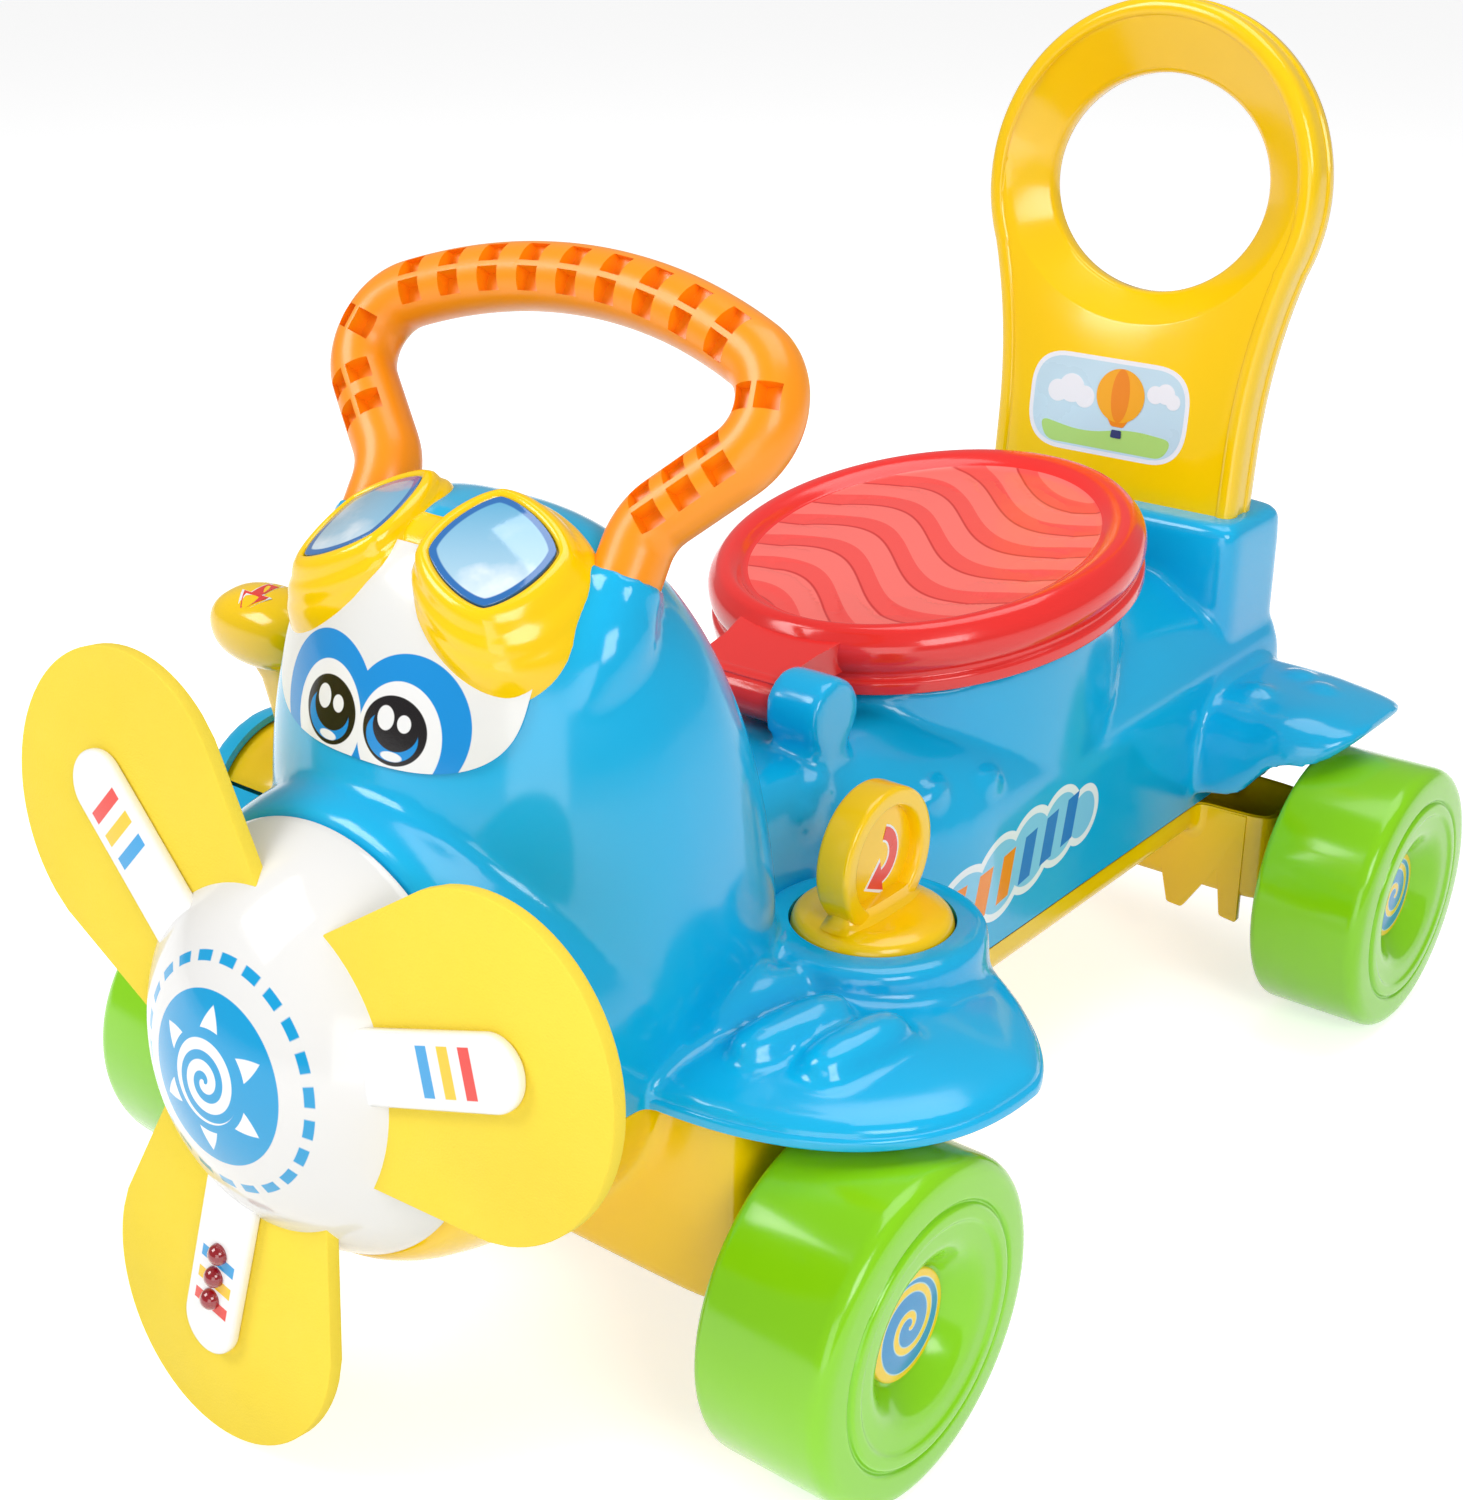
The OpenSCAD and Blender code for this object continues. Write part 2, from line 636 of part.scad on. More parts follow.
module belly_pan() {
  color(YELLOW) difference() {
    union() {
      difference() {
        union() {
          translate([0, 0, belly_z]) linear_extrude(belly_h - gap) fuselage_plan(0, join_y - gap - 1,
            body_end);
          housing(front_y, front_box_l, rim_z - gap, 0);
          housing(rear_y, rear_box_l, tray_z - gap, 0);
          intersection() {
            nose_body(0);
            below(rim_z - gap);
            translate([-200, front_y - front_box_l / 2 - 200, 0]) cube([400, 202, 400]);
          }
        }
        translate([0, 0, belly_z + wall]) linear_extrude(belly_h) fuselage_plan(wall, join_y + wall,
          body_end - wall);
        housing(front_y, front_box_l, rim_z - gap, wall);
        housing(rear_y, rear_box_l, tray_z - gap, wall);
        intersection() {
          nose_body(wall);
          translate([-200, front_y - front_box_l / 2 - 200, 0]) cube([400, 200, 400]);
        }
      }
      for (a = AXLES) translate([0, a[1], axle_z]) rotate([0, 90, 0])
        cylinder(r = axle_tube_r, h = 2 * housing_x - 1, center = true);
      for (m = [0, 1]) mirror([m, 0, 0]) translate([0, rear_y - rear_box_l / 2 + wall, 0]) rotate([90, 0,
        0])
        linear_extrude(wall) skirt_outline();
      for (p = rear_posts) translate([p.x, p.y, belly_z]) cylinder(r = 6, h = belly_h - gap);
    }
    for (a = AXLES) translate([0, a[1], axle_z]) rotate([0, 90, 0])
      cylinder(r = axle_r + seat_fit, h = 2 * housing_x + 2, center = true);
    for (p = screw_posts) translate([p.x, p.y, rim_z - 10]) cylinder(r = screw_r + seat_fit, h = 20);
    for (p = rear_posts) translate([p.x, p.y, belly_z - 1]) {
      cylinder(r = screw_r + seat_fit, h = 40);
      cylinder(r = screw_head + gap, h = head_t + 1.2);
    }
    // Way of the battery door and the slots in front of the loudspeaker
    translate([-box_w - gap, box_y - gap, belly_z - 1]) cube([2 * (box_w + gap), box_l + 2 * gap,
      wall + 2]);
    for (i = [-2 : 2]) translate([-speaker_r * 0.6, seat_y + i * 8 - 1.5, belly_z - 1])
      cube([speaker_r * 1.2, 3, wall + 2]);
  }
}

// Screws that join the belly to the shells from below
module body_screws() {
  color(STEEL) {
    for (p = screw_posts) translate([p.x, p.y, rim_z - gap - wall]) {
      cylinder(r = screw_r, h = wall + gap + 8);
      translate([0, 0, -head_t]) cylinder(r = screw_head, h = head_t);
    }
    for (p = rear_posts) translate([p.x, p.y, belly_z + 0.2]) {
      cylinder(r = screw_r, h = belly_h + 16);
      cylinder(r = screw_head, h = head_t);
    }
  }
}

// White insert that lies on the face of the hood above the nose
module eye_plate() {
  plate_z = hood_round_z + 93;
  color(WHITE) difference() {
    intersection() {
      hood_skin(1.4, rim_z);
      translate([0, hood_y - 10, plate_z]) rotate([90, 0, 0]) linear_extrude(200)
        polygon(outline(plate_w, 32, 2.3));
    }
    hood_skin(0.1, rim_z - 1);
    nose_body(-0.3);
    goggle_cups(0.3);
  }
}

// Frame of a goggle cup: Z out of the lens
module on_cup(s) {
  translate([s * cup_x, front_y - 33, hood_top - 6]) rotate([cup_turn, 0, s * cup_splay]) children();
}

// Steps of a goggle cup: growth past the lens and share of the depth
cup_steps = [[3, 0], [4, 0.1], [5, 0.22], [6.6, 0.25], [7.6, 0.4], [9.2, 0.44], [10.5, 0.7], [11, 1]];
// Shift of the foot of a goggle cup outwards and down its face
cup_shift = [11, -11];
lens_t = 2;

// Solid of both cups and their bridge, grown by d
module goggle_cups(d) {
  for (s = [-1, 1]) on_cup(s) loft([for (i = [len(cup_steps) - 1 : -1 : 0]) let (q = cup_steps[i])
    oval([s * cup_shift.x * q[1], cup_shift.y * q[1]], lens_w + q[0] + d, lens_h + q[0] + d, 1.9,
      -cup_d * q[1])]);
  translate([-bridge_w / 2, front_y - 46, hood_top - 14]) rotate([cup_turn, 0, 0]) cube([bridge_w, 22, 9]);
}

bridge_w = 24;

module goggles() {
  color(YELLOW) difference() {
    goggle_cups(0);
    for (s = [-1, 1]) on_cup(s) translate([0, 0, -lens_t]) linear_extrude(lens_t + 1)
      polygon(outline(lens_w + 0.1, lens_h + 0.1, 1.7));
    hood_skin(0.2, rim_z);
    bar_socket(bar_r + 4.3, 6);
    bar_tube(bar_r + 0.4);
  }
}

module goggle_lenses() {
  color([0.6, 0.85, 0.97]) for (s = [-1, 1]) on_cup(s) translate([0, 0, -lens_t])
    linear_extrude(lens_t - 0.6)
    polygon(outline(lens_w, lens_h, 1.7));
}

// Rings of the seat's skin, from its lower edge over the rim into the dish
seat_rings = [[0, 0], [0, 8], [-2.5, 10], [-2.5, 12], [-1, seat_t - 8], [-4, seat_t - 2], [-8, seat_t],
  [-13, seat_t - 1], [-17, seat_t - 3]];

module seat_lid() {
  color(RED) difference() {
    union() {
      on_seat() difference() {
        loft([for (q = seat_rings) oval([0, 0], seat_a + q.x, seat_b + q.x, 2, q.y)]);
        loft([for (q = [[-wall, -1], [-wall, 6], [-wall - 4, seat_t - 8], [-wall - 16, seat_t - 3 - wall]])
          oval([0, 0], seat_a + q.x, seat_b + q.x, 2, q.y)]);
      }
      translate([0, hinge_y, hinge_z]) {
        rotate([0, 90, 0]) cylinder(r = barrel_r, h = 2 * tongue_w, center = true);
        translate([-tongue_w, 0, -2]) rotate([seat_tilt, 0, 0]) cube([2 * tongue_w, 30, barrel_r + 1]);
      }
    }
    translate([0, hinge_y, hinge_z]) rotate([0, 90, 0]) cylinder(r = pin_r + run, h = 3 * tongue_w,
      center = true);
  }
}

module seat_pin() {
  color(STEEL) translate([0, hinge_y, hinge_z]) rotate([0, 90, 0])
    cylinder(r = pin_r, h = 2 * (tongue_w + gap + boss_w) - 2, center = true);
}

// Tub under the seat, hung on the pedestal by its flange
module storage_tub() {
  color(BLUE) difference() {
    union() {
      intersection() {
        translate([0, seat_y, seat_z - tub_d - 10]) linear_extrude(tub_d + 60) polygon(outline(tub_a,
          tub_b, 2));
        on_seat() translate([0, 0, -lid_gap]) below(0);
      }
      on_seat() translate([0, 0, -tub_flange - lid_gap]) linear_extrude(tub_flange)
        polygon(outline(pedestal_a - 1, pedestal_b - 1, 2));
    }
    translate([0, seat_y, seat_z - tub_d - 10 + wall]) linear_extrude(tub_d + 60)
      polygon(outline(tub_a - wall, tub_b - wall, 2));
  }
}

// Spinner: hollow dome with a hub and three arms
hub_r = 9;
module spinner() {
  color(WHITE) on_axis() difference() {
    union() {
      intersection() {
        difference() {
          translate([0, 0, -dome_sink]) sphere(r = dome_r, $fn = 96);
          translate([0, 0, -dome_sink]) sphere(r = dome_r - wall, $fn = 96);
        }
        translate([0, 0, -dome_rim]) cylinder(r = dome_r + 1, h = dome_r);
      }
      translate([0, 0, -bulkhead + 0.3]) cylinder(r = hub_r, h = bulkhead + dome_r - dome_sink - 2);
      for (b = BLADES) rotate(blade_phase + 120 * (b - 1)) translate([0, 0, -arm_t]) linear_extrude(arm_t) {
        translate([arm_in, -arm_w / 2]) square([arm_reach - arm_w / 2 - arm_in, arm_w]);
        translate([arm_reach - arm_w / 2, 0]) circle(arm_w / 2);
      }
    }
    translate([0, 0, -bulkhead - 1]) cylinder(r = shaft_r + seat_fit, h = bulkhead + 1);
  }
}

arm_in = sqrt(pow(dome_r, 2) - pow(dome_sink - arm_t, 2)) - 2.5;
blade_in = sqrt(pow(dome_r, 2) - pow(dome_sink - arm_t - blade_t - 0.5, 2)) + 0.5;
pin_places = [blade_in + 12, arm_reach - arm_w / 2];

// Foam blade held to the back of its arm
module blade(b) {
  root_w = 37;
  color(FOAM) on_axis() rotate(blade_phase + 120 * (b - 1)) translate([0, 0, -arm_t - blade_t - 0.1])
    difference() {
    linear_extrude(blade_t) difference() {
      union() {
        translate([blade_reach - blade_w, 0]) circle(blade_w);
        polygon([[blade_in - 9, -root_w], [blade_reach - blade_w - 8, -blade_w + 0.7],
          [blade_reach - blade_w - 8, blade_w - 0.7], [blade_in - 9, root_w]]);
      }
      circle(blade_in);
    }
    for (r = pin_places) translate([r, 0, -1]) cylinder(r = 2 + seat_fit, h = blade_t + 2);
  }
}

// Pins that hold the blades to the arms, with their heads behind the foam
module blade_pins() {
  color(WHITE) on_axis() for (b = BLADES, r = pin_places) rotate(blade_phase + 120 * (b - 1))
    translate([r, 0, -arm_t - blade_t - 0.2]) {
      cylinder(r = 2, h = blade_t + 0.2);
      translate([0, 0, -1.5]) cylinder(r = 4.5, h = 1.5);
    }
}

// Lamp lenses on the front of the lowest arm
module lamp_lenses() {
  color([0.7, 0.02, 0.1]) on_axis() rotate(blade_phase + 240) for (i = [-1 : 1])
    translate([arm_reach - 30 + 9 * i, 0, 0]) intersection() {
      sphere(r = 3.6);
      cylinder(r = 5, h = 5);
    }
}

bush_l = 17;
module propeller_shaft() {
  color(STEEL) on_axis() translate([0, 0, -bulkhead - bush_l - 12]) cylinder(r = shaft_r,
    h = bulkhead + bush_l + 11);
}

module propeller_bush() {
  color(WHITE) on_axis() difference() {
    union() {
      translate([0, 0, -bulkhead - bush_l]) cylinder(r = 10, h = bush_l);
      translate([0, 0, -bulkhead - wall - 3]) cylinder(r = 15, h = 3);
    }
    translate([0, 0, -bulkhead - bush_l - 1]) cylinder(r = shaft_r + run, h = bush_l + 2);
  }
}

module shaft_clip() {
  color(STEEL) on_axis() translate([0, 0, -bulkhead - bush_l - gap - 2]) difference() {
    cylinder(r = 8, h = 2);
    translate([0, 0, -1]) cylinder(r = shaft_r + seat_fit, h = 4);
  }
}

// Turning key: base, web, ring and spindle
web_t = 4;
ring_t = 13;
key_clip_z = rim_z + collar_z - gap - 2;
module key_knob() {
  base_z = rim_z + key_floor + gap;
  base_h = collar_h - key_floor + 5;
  ring_z = base_z + base_h + ring_r - 6;
  color(YELLOW) translate([key_x, key_y, 0]) {
    translate([0, 0, base_z]) rotate_extrude() polygon([[0, 0], [key_r, 0], [key_r, base_h - 7],
      [key_r - 2, base_h - 3],
      [key_r - 7, base_h], [0, base_h]]);
    translate([0, 0, ring_z]) rotate([0, 90, 0]) {
      difference() {
        cylinder(r = ring_r, h = ring_t, center = true);
        cylinder(r = ring_r - 6, h = ring_t + 1, center = true);
      }
      cylinder(r = ring_r - 5, h = web_t, center = true);
    }
    translate([0, 0, key_clip_z - 1]) cylinder(r = spindle_r, h = rim_z + key_floor - key_clip_z + 2);
  }
}

// Clip under the collar that holds the key's spindle
module key_clip() {
  color(STEEL) translate([key_x, key_y, key_clip_z]) difference() {
    cylinder(r = spindle_r + 5, h = 2);
    translate([0, 0, -1]) cylinder(r = spindle_r + seat_fit, h = 4);
  }
}

// Gear lever: drum sector on its pin, stalk and T grip
grip_w = 46;
grip_r = 15;
module lever() {
  color(YELLOW) translate([-lever_x, lever_y, lever_z]) rotate([lever_rest, 0, 0]) difference() {
    union() {
      rotate([0, 90, 0]) cylinder(r = 8, h = slot_w - 4, center = true);
      intersection() {
        rotate([0, 90, 0]) difference() {
          cylinder(r = quadrant_r - wall - 0.6, h = quadrant_w - 2 * wall - 1.2, center = true);
          cylinder(r = quadrant_r - wall - 3.6, h = quadrant_w, center = true);
        }
        rotate([45, 0, 0]) translate([-quadrant_w, 0, 0]) cube(2 * quadrant_w);
        rotate([45, 0, 0]) translate([-quadrant_w, -8, -8]) cube(2 * quadrant_w);
      }
      translate([-7, -5, 0]) cube([14, 10, lever_l - 4]);
      translate([0, 0, lever_l]) rotate([0, 90, 0]) cylinder(r = grip_r, h = grip_w - 2 * grip_r,
        center = true);
      for (s = [-1, 1]) translate([s * (grip_w / 2 - grip_r), 0, lever_l]) sphere(r = grip_r);
    }
    rotate([0, 90, 0]) cylinder(r = lever_pin_r + run, h = quadrant_w, center = true);
  }
}

module lever_pin() {
  color(STEEL) translate([-lever_x, lever_y, lever_z]) rotate([0, 90, 0])
    cylinder(r = lever_pin_r, h = quadrant_w - 0.4, center = true);
}

// Wheel turned about X: tread, shoulders, bead, well and hub, open and ribbed towards the toy
hub_wall = 7;
nut_d = 9;
ribs = 6;
inner_r = 7;
module wheel(s, y) {
  h = wheel_w / 2;
  k = shoulder_r;
  face = h - 3;
  tread = wheel_r - inner_r;
  shoulder = [for (i = [0 : 6]) let (u = 15 * i) [wheel_r - k + k * cos(u), face - k + k * sin(u)]];
  inner = [for (i = [0 : 4]) let (u = -90 + 22.5 * i) [tread + inner_r * cos(u),
    inner_r - h + inner_r * sin(u)]];
  core = axle_r + hub_wall;
  floor_x = h - well_d - nut_d - wall;
  color(GREEN) translate([s * wheel_x, y, axle_z]) rotate([0, s * 90, 0]) difference() {
    union() {
      rotate_extrude() polygon(concat([[axle_r + run, -h], [core, -h], [core, floor_x], [well_r, floor_x],
        [well_r + 5, face - wall], [tread - wall - 4, face - wall], [tread - wall, face - k],
          [tread - wall, -h]],
        inner, shoulder, [[bead_r + 3, face], [bead_r + 1.5, h], [bead_r - 1.5, h], [bead_r - 3,
          face + 0.6],
        [well_r, face], [well_r - 3, face - 1.5], [well_r - 5.5, face - 5], [cap_r + 3, h - well_d],
        [axle_r + run, h - well_d]]));
      for (i = [0 : ribs - 1]) rotate(360 * i / ribs) translate([core - 1, -wall / 2, -h + 6])
        cube([tread - wall - core + 2, wall, floor_x + h - 5]);
    }
    translate([0, 0, h - well_d - nut_d]) cylinder(r = 9, h = nut_d + 1);
  }
}

// Domed cap that covers the axle end in the well of a wheel
module hub_cap(s, y) {
  h = wheel_w / 2;
  color(YELLOW) translate([s * wheel_x, y, axle_z]) rotate([0, s * 90, 0]) translate([0, 0, h - well_d])
    rotate_extrude() polygon([[0, 0.6], [8, 0.6], [8, 0.05], [cap_r, 0.05], [cap_r, 3.5], [cap_r - 1.5,
      5], [0, 6]]);
}

module axle(y) {
  l = track_w - 2 * (well_d + 1.5);
  color(STEEL) translate([0, y, axle_z]) rotate([0, 90, 0]) cylinder(r = axle_r, h = l, center = true);
}

// Washers between the housings and the wheels
module axle_spacers() {
  from = housing_x + 0.02;
  to = wheel_x - wheel_w / 2 - gap;
  color(WHITE) for (a = AXLES, s = [-1, 1]) translate([s * (from + to) / 2, a[1], axle_z]) rotate([0, 90,
    0])
    difference() {
      cylinder(r = 9, h = to - from, center = true);
      cylinder(r = axle_r + seat_fit, h = to, center = true);
    }
}

// Push-on nuts at the ends of the axles, under the hub caps
module axle_nuts() {
  color(STEEL) for (a = AXLES, s = [-1, 1])
    translate([s * (wheel_x + wheel_w / 2 - well_d - nut_d + gap + 1.5), a[1], axle_z]) rotate([0, 90, 0])
      difference() {
        cylinder(r = 8, h = 3, center = true);
        cylinder(r = axle_r + seat_fit, h = 4, center = true);
      }
}

box_y = join_y + 22;
door_t = 2.4;
door_head = 1.2;

// Open box for the battery cells on the floor of the belly, with posts for the circuit board
module battery_box() {
  color([0.2, 0.2, 0.22]) translate([0, box_y, belly_z + wall + 0.02]) difference() {
    union() {
      translate([-box_w, 0, 0]) cube([2 * box_w, box_l, box_h]);
      for (s = [-1, 1]) translate([s * (box_w + 4), box_l / 2, 0]) cylinder(r = 5, h = 6);
      for (s = [-1, 1], y = [8, box_l - 8]) translate([s * (box_w - 8), y, box_h]) cylinder(r = 3, h = 6);
    }
    translate([-box_w + 2, 2, -1]) cube([2 * box_w - 4, box_l - 4, box_h - 1]);
    translate([box_w - 5, box_l / 2, -1]) cylinder(r = screw_r, h = 4);
  }
}

module battery_cells() {
  color([0.3, 0.3, 0.32]) for (i = [-1 : 1])
    translate([-25, box_y + box_l / 2 + i * (2 * cell_r + 1), belly_z + wall + box_h - 2.2 - cell_r])
      rotate([0, 90, 0]) {
      cylinder(r = cell_r, h = 49);
      translate([0, 0, 49]) cylinder(r = 2.7, h = 1.4);
    }
}

module battery_door() {
  color(YELLOW) difference() {
    translate([-box_w, box_y, belly_z + wall - door_t]) cube([2 * box_w, box_l, door_t]);
    translate([box_w - 5, box_y + box_l / 2, belly_z]) {
      cylinder(r = screw_r + seat_fit, h = wall + 2);
      cylinder(r = screw_head, h = wall - door_t + door_head);
    }
  }
}

module battery_screw() {
  color(STEEL) translate([box_w - 5, box_y + box_l / 2, belly_z + wall - door_t]) {
    cylinder(r = screw_head - gap, h = door_head);
    cylinder(r = screw_r, h = door_t);
  }
}

module circuit_board() {
  color([0.1, 0.4, 0.2]) translate([0, box_y + box_l / 2, belly_z + wall + box_h + 6.1]) {
    translate([-box_w, -box_l / 2, 0]) cube([2 * box_w, box_l, 1.6]);
    translate([-9, -9, 1.6]) cube([18, 18, 2.5]);
    translate([14, -14, 1.6]) cylinder(r = 4, h = 9);
  }
}

module speaker() {
  color([0.15, 0.15, 0.17]) translate([0, seat_y, belly_z + wall + 0.02]) {
    cylinder(r = speaker_r, h = 4);
    translate([0, 0, 4]) cylinder(r = speaker_r * 0.6, h = 7);
  }
}

front_shell();
rear_shell();
belly_pan();
eye_plate();
goggles();
goggle_lenses();
handlebar();
handlebar_screws();
seat_lid();
seat_pin();
storage_tub();
backrest();
backrest_screws();
spinner();
for (b = BLADES) blade(b);
lamp_lenses();
blade_pins();
propeller_shaft();
propeller_bush();
shaft_clip();
key_knob();
key_clip();
lever();
lever_pin();
for (a = AXLES, s = SIDES) wheel(s[1], a[1]);
for (a = AXLES, s = SIDES) hub_cap(s[1], a[1]);
for (a = AXLES) axle(a[1]);
axle_spacers();
axle_nuts();
body_screws();
battery_box();
battery_cells();
battery_door();
battery_screw();
circuit_board();
speaker();
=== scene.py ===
from math import asin, atan, copysign, cos, degrees, pi, radians, sin, sqrt, tan
import bpy
from mathutils import Matrix, Vector


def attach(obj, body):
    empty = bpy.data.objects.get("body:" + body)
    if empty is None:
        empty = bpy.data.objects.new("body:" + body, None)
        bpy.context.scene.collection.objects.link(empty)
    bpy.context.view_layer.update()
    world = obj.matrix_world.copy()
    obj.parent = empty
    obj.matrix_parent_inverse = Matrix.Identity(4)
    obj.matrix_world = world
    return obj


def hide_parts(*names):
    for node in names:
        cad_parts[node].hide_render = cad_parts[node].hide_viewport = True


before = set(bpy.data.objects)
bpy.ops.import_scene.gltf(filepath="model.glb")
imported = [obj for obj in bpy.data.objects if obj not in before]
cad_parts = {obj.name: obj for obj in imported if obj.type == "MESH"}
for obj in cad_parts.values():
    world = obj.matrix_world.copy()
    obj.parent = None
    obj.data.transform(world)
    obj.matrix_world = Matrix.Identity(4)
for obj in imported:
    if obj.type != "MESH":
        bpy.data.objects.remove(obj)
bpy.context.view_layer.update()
mm = 0.001
perMetre = 1000.0


# selecting and editing, as with the mouse
def unselect():
    if bpy.context.mode != "OBJECT":
        bpy.ops.object.mode_set(mode="OBJECT")
    bpy.ops.object.select_all(action="DESELECT")


def pick(*pieces):
    unselect()
    for piece in pieces:
        piece.select_set(True)
    bpy.context.view_layer.objects.active = pieces[0]


def called(name):  # the object just made, under its name
    piece = bpy.context.object
    piece.name = piece.data.name = name
    return piece


def startEdit(piece):
    pick(piece)
    bpy.ops.object.mode_set(mode="EDIT")
    bpy.ops.mesh.select_all(action="SELECT")


def endEdit(outward=True):
    bpy.ops.mesh.select_all(action="SELECT")
    if outward:
        bpy.ops.mesh.normals_make_consistent(inside=False)
    bpy.ops.object.mode_set(mode="OBJECT")


def spot(x, y, z, turnX=0, turnY=0, turnZ=0):  # a place in mm and its turns in degrees
    turn = Matrix.Rotation(radians(turnZ), 4, "Z") @ Matrix.Rotation(radians(turnY), 4, "Y")
    return Matrix.Translation(Vector((x, y, z)) * mm) @ turn @ Matrix.Rotation(radians(turnX), 4, "X")


def setDown(piece, place):  # move the piece to its place and leave the object at the origin
    pick(piece)
    piece.matrix_world = place
    bpy.ops.object.transform_apply(location=True, rotation=True, scale=True)
    return piece


def useModifier(piece, kind, **settings):
    pick(piece)
    step = piece.modifiers.new(kind.title(), kind)
    for key, value in settings.items():
        setattr(step, key, value)
    bpy.ops.object.modifier_apply(modifier=step.name)


def joinAll(name, pieces):
    pick(*pieces)
    bpy.ops.object.join()
    pieces[0].name = pieces[0].data.name = name
    return pieces[0]


def carve(piece, cutter):
    useModifier(piece, "BOOLEAN", operation="DIFFERENCE", solver="EXACT", object=cutter)
    bpy.data.objects.remove(cutter, do_unlink=True)


def smoothShade(piece, angle=None):
    pick(piece)
    if angle is None:
        bpy.ops.object.shade_smooth()
    else:
        bpy.ops.object.shade_smooth_by_angle(angle=radians(angle))


def copyPiece(piece, name, place):  # own mesh for every copy
    pick(piece)
    bpy.ops.object.duplicate(linked=False)
    return setDown(called(name), place)


# ways of shaping
def skin(name, rings, fill=True, loop=False):  # a grid wrapped round the rings, its seam merged
    rows = rings + [rings[0]] if loop else rings
    across, along = len(rows[0]), len(rows) - 1
    unselect()
    bpy.ops.mesh.primitive_grid_add(x_subdivisions=across, y_subdivisions=along, size=1)
    piece = called(name)
    for vert in piece.data.vertices:
        i = round((vert.co.x + 0.5) * across) % across
        j = round((vert.co.y + 0.5) * along)
        vert.co = Vector(rows[j][i]) * mm
    startEdit(piece)
    bpy.ops.mesh.remove_doubles(threshold=2e-6)
    if fill and not loop:
        bpy.ops.mesh.fill_holes(sides=0)
    endEdit()
    return piece


def turned(name, outline, steps=96):  # outline of radius and height, spun about Z
    unselect()
    bpy.ops.mesh.primitive_circle_add(vertices=len(outline), radius=1, fill_type="NOTHING")
    piece = called(name)
    for vert, (radius, height) in zip(piece.data.vertices, outline):
        vert.co = Vector((radius, 0, height)) * mm
    startEdit(piece)
    bpy.ops.mesh.spin(steps=steps, angle=2 * pi, center=(0, 0, 0), axis=(0, 0, 1))
    bpy.ops.mesh.select_all(action="SELECT")
    bpy.ops.mesh.remove_doubles(threshold=2e-6)
    bpy.ops.mesh.delete_loose(use_verts=True, use_edges=True, use_faces=False)
    endEdit()
    return piece


def plate(name, outline, thick, edge=0.0):  # flat outline in XY, extruded up and its edges rounded
    unselect()
    bpy.ops.mesh.primitive_circle_add(vertices=len(outline), radius=1, fill_type="NGON")
    piece = called(name)
    for vert, (x, y) in zip(piece.data.vertices, outline):
        vert.co = Vector((x, y, 0)) * mm
    startEdit(piece)
    bpy.ops.mesh.extrude_region_move(TRANSFORM_OT_translate={"value": (0, 0, thick * mm)})
    endEdit()
    if edge:
        useModifier(piece, "BEVEL", width=edge * mm, segments=3, limit_method="ANGLE",
                    angle_limit=radians(50))
    return piece


def pebble(name, place, halfSizes):  # a flattened ball
    unselect()
    bpy.ops.mesh.primitive_uv_sphere_add(segments=32, ring_count=20, radius=mm)
    piece = called(name)
    startEdit(piece)
    bpy.ops.transform.resize(value=halfSizes)
    endEdit()
    return setDown(piece, place)


def soft(points, steps=6, closed=True):  # outline of x, y and corner radius, corners rounded
    out, count = [], len(points)
    for i, (x, y, radius) in enumerate(points):
        here = Vector((x, y))
        if not radius or (not closed and i in (0, count - 1)):
            out.append((x, y))
            continue
        before, after = Vector(points[i - 1][:2]), Vector(points[(i + 1) % count][:2])
        reach = min(radius, (before - here).length * 0.49, (after - here).length * 0.49)
        first = here + (before - here).normalized() * reach
        last = here + (after - here).normalized() * reach
        for k in range(steps + 1):
            t = k / steps
            out.append(tuple(first * (1 - t) ** 2 + here * 2 * t * (1 - t) + last * t * t))
    return out


def circle(count):  # the angles of a full turn
    return [2 * pi * i / count for i in range(count)]


def signedPower(value, power):
    return copysign(abs(value) ** power, value)


def ovalRing(x, y, a, b, power, z, count=96):
    ring = []
    for t in circle(count):
        u, v = signedPower(cos(t), 2 / power), signedPower(sin(t), 2 / power)
        ring.append((x + a * u, y + b * v, z))
    return ring


def melt(piece, grain, rounds):  # one smooth moulding out of the joined forms
    useModifier(piece, "REMESH", mode="VOXEL", voxel_size=grain * mm, use_smooth_shade=True)
    useModifier(piece, "SMOOTH", factor=0.5, iterations=rounds)


def cutAt(piece, height, **drop):  # level cut, dropping clear_inner below or clear_outer above
    startEdit(piece)
    bpy.ops.mesh.bisect(plane_co=(0, 0, height * mm), plane_no=(0, 0, 1), use_fill=False, **drop)
    endEdit()


def giveWall(piece, thick):
    useModifier(piece, "SOLIDIFY", thickness=thick * mm, offset=-1, use_rim=True)


def layUv(piece, place):  # lays the plane of the place on the piece, 1 unit for 100 mm
    layer = piece.data.uv_layers.get("pattern") or piece.data.uv_layers.new(name="pattern")
    back = place.inverted()
    for loop in piece.data.loops:
        local = back @ piece.data.vertices[loop.vertex_index].co
        layer.data[loop.index].uv = (local.x * 10 + 0.5, local.y * 10 + 0.5)


# finishes
def ink(red, green, blue):  # 0 to 255 as seen on a screen, to a shader's colour
    shares = (c / 255 for c in (red, green, blue))
    return tuple(c / 12.92 if c < 0.0404 else ((c + 0.055) / 1.055) ** 2.4 for c in shares) + (1,)


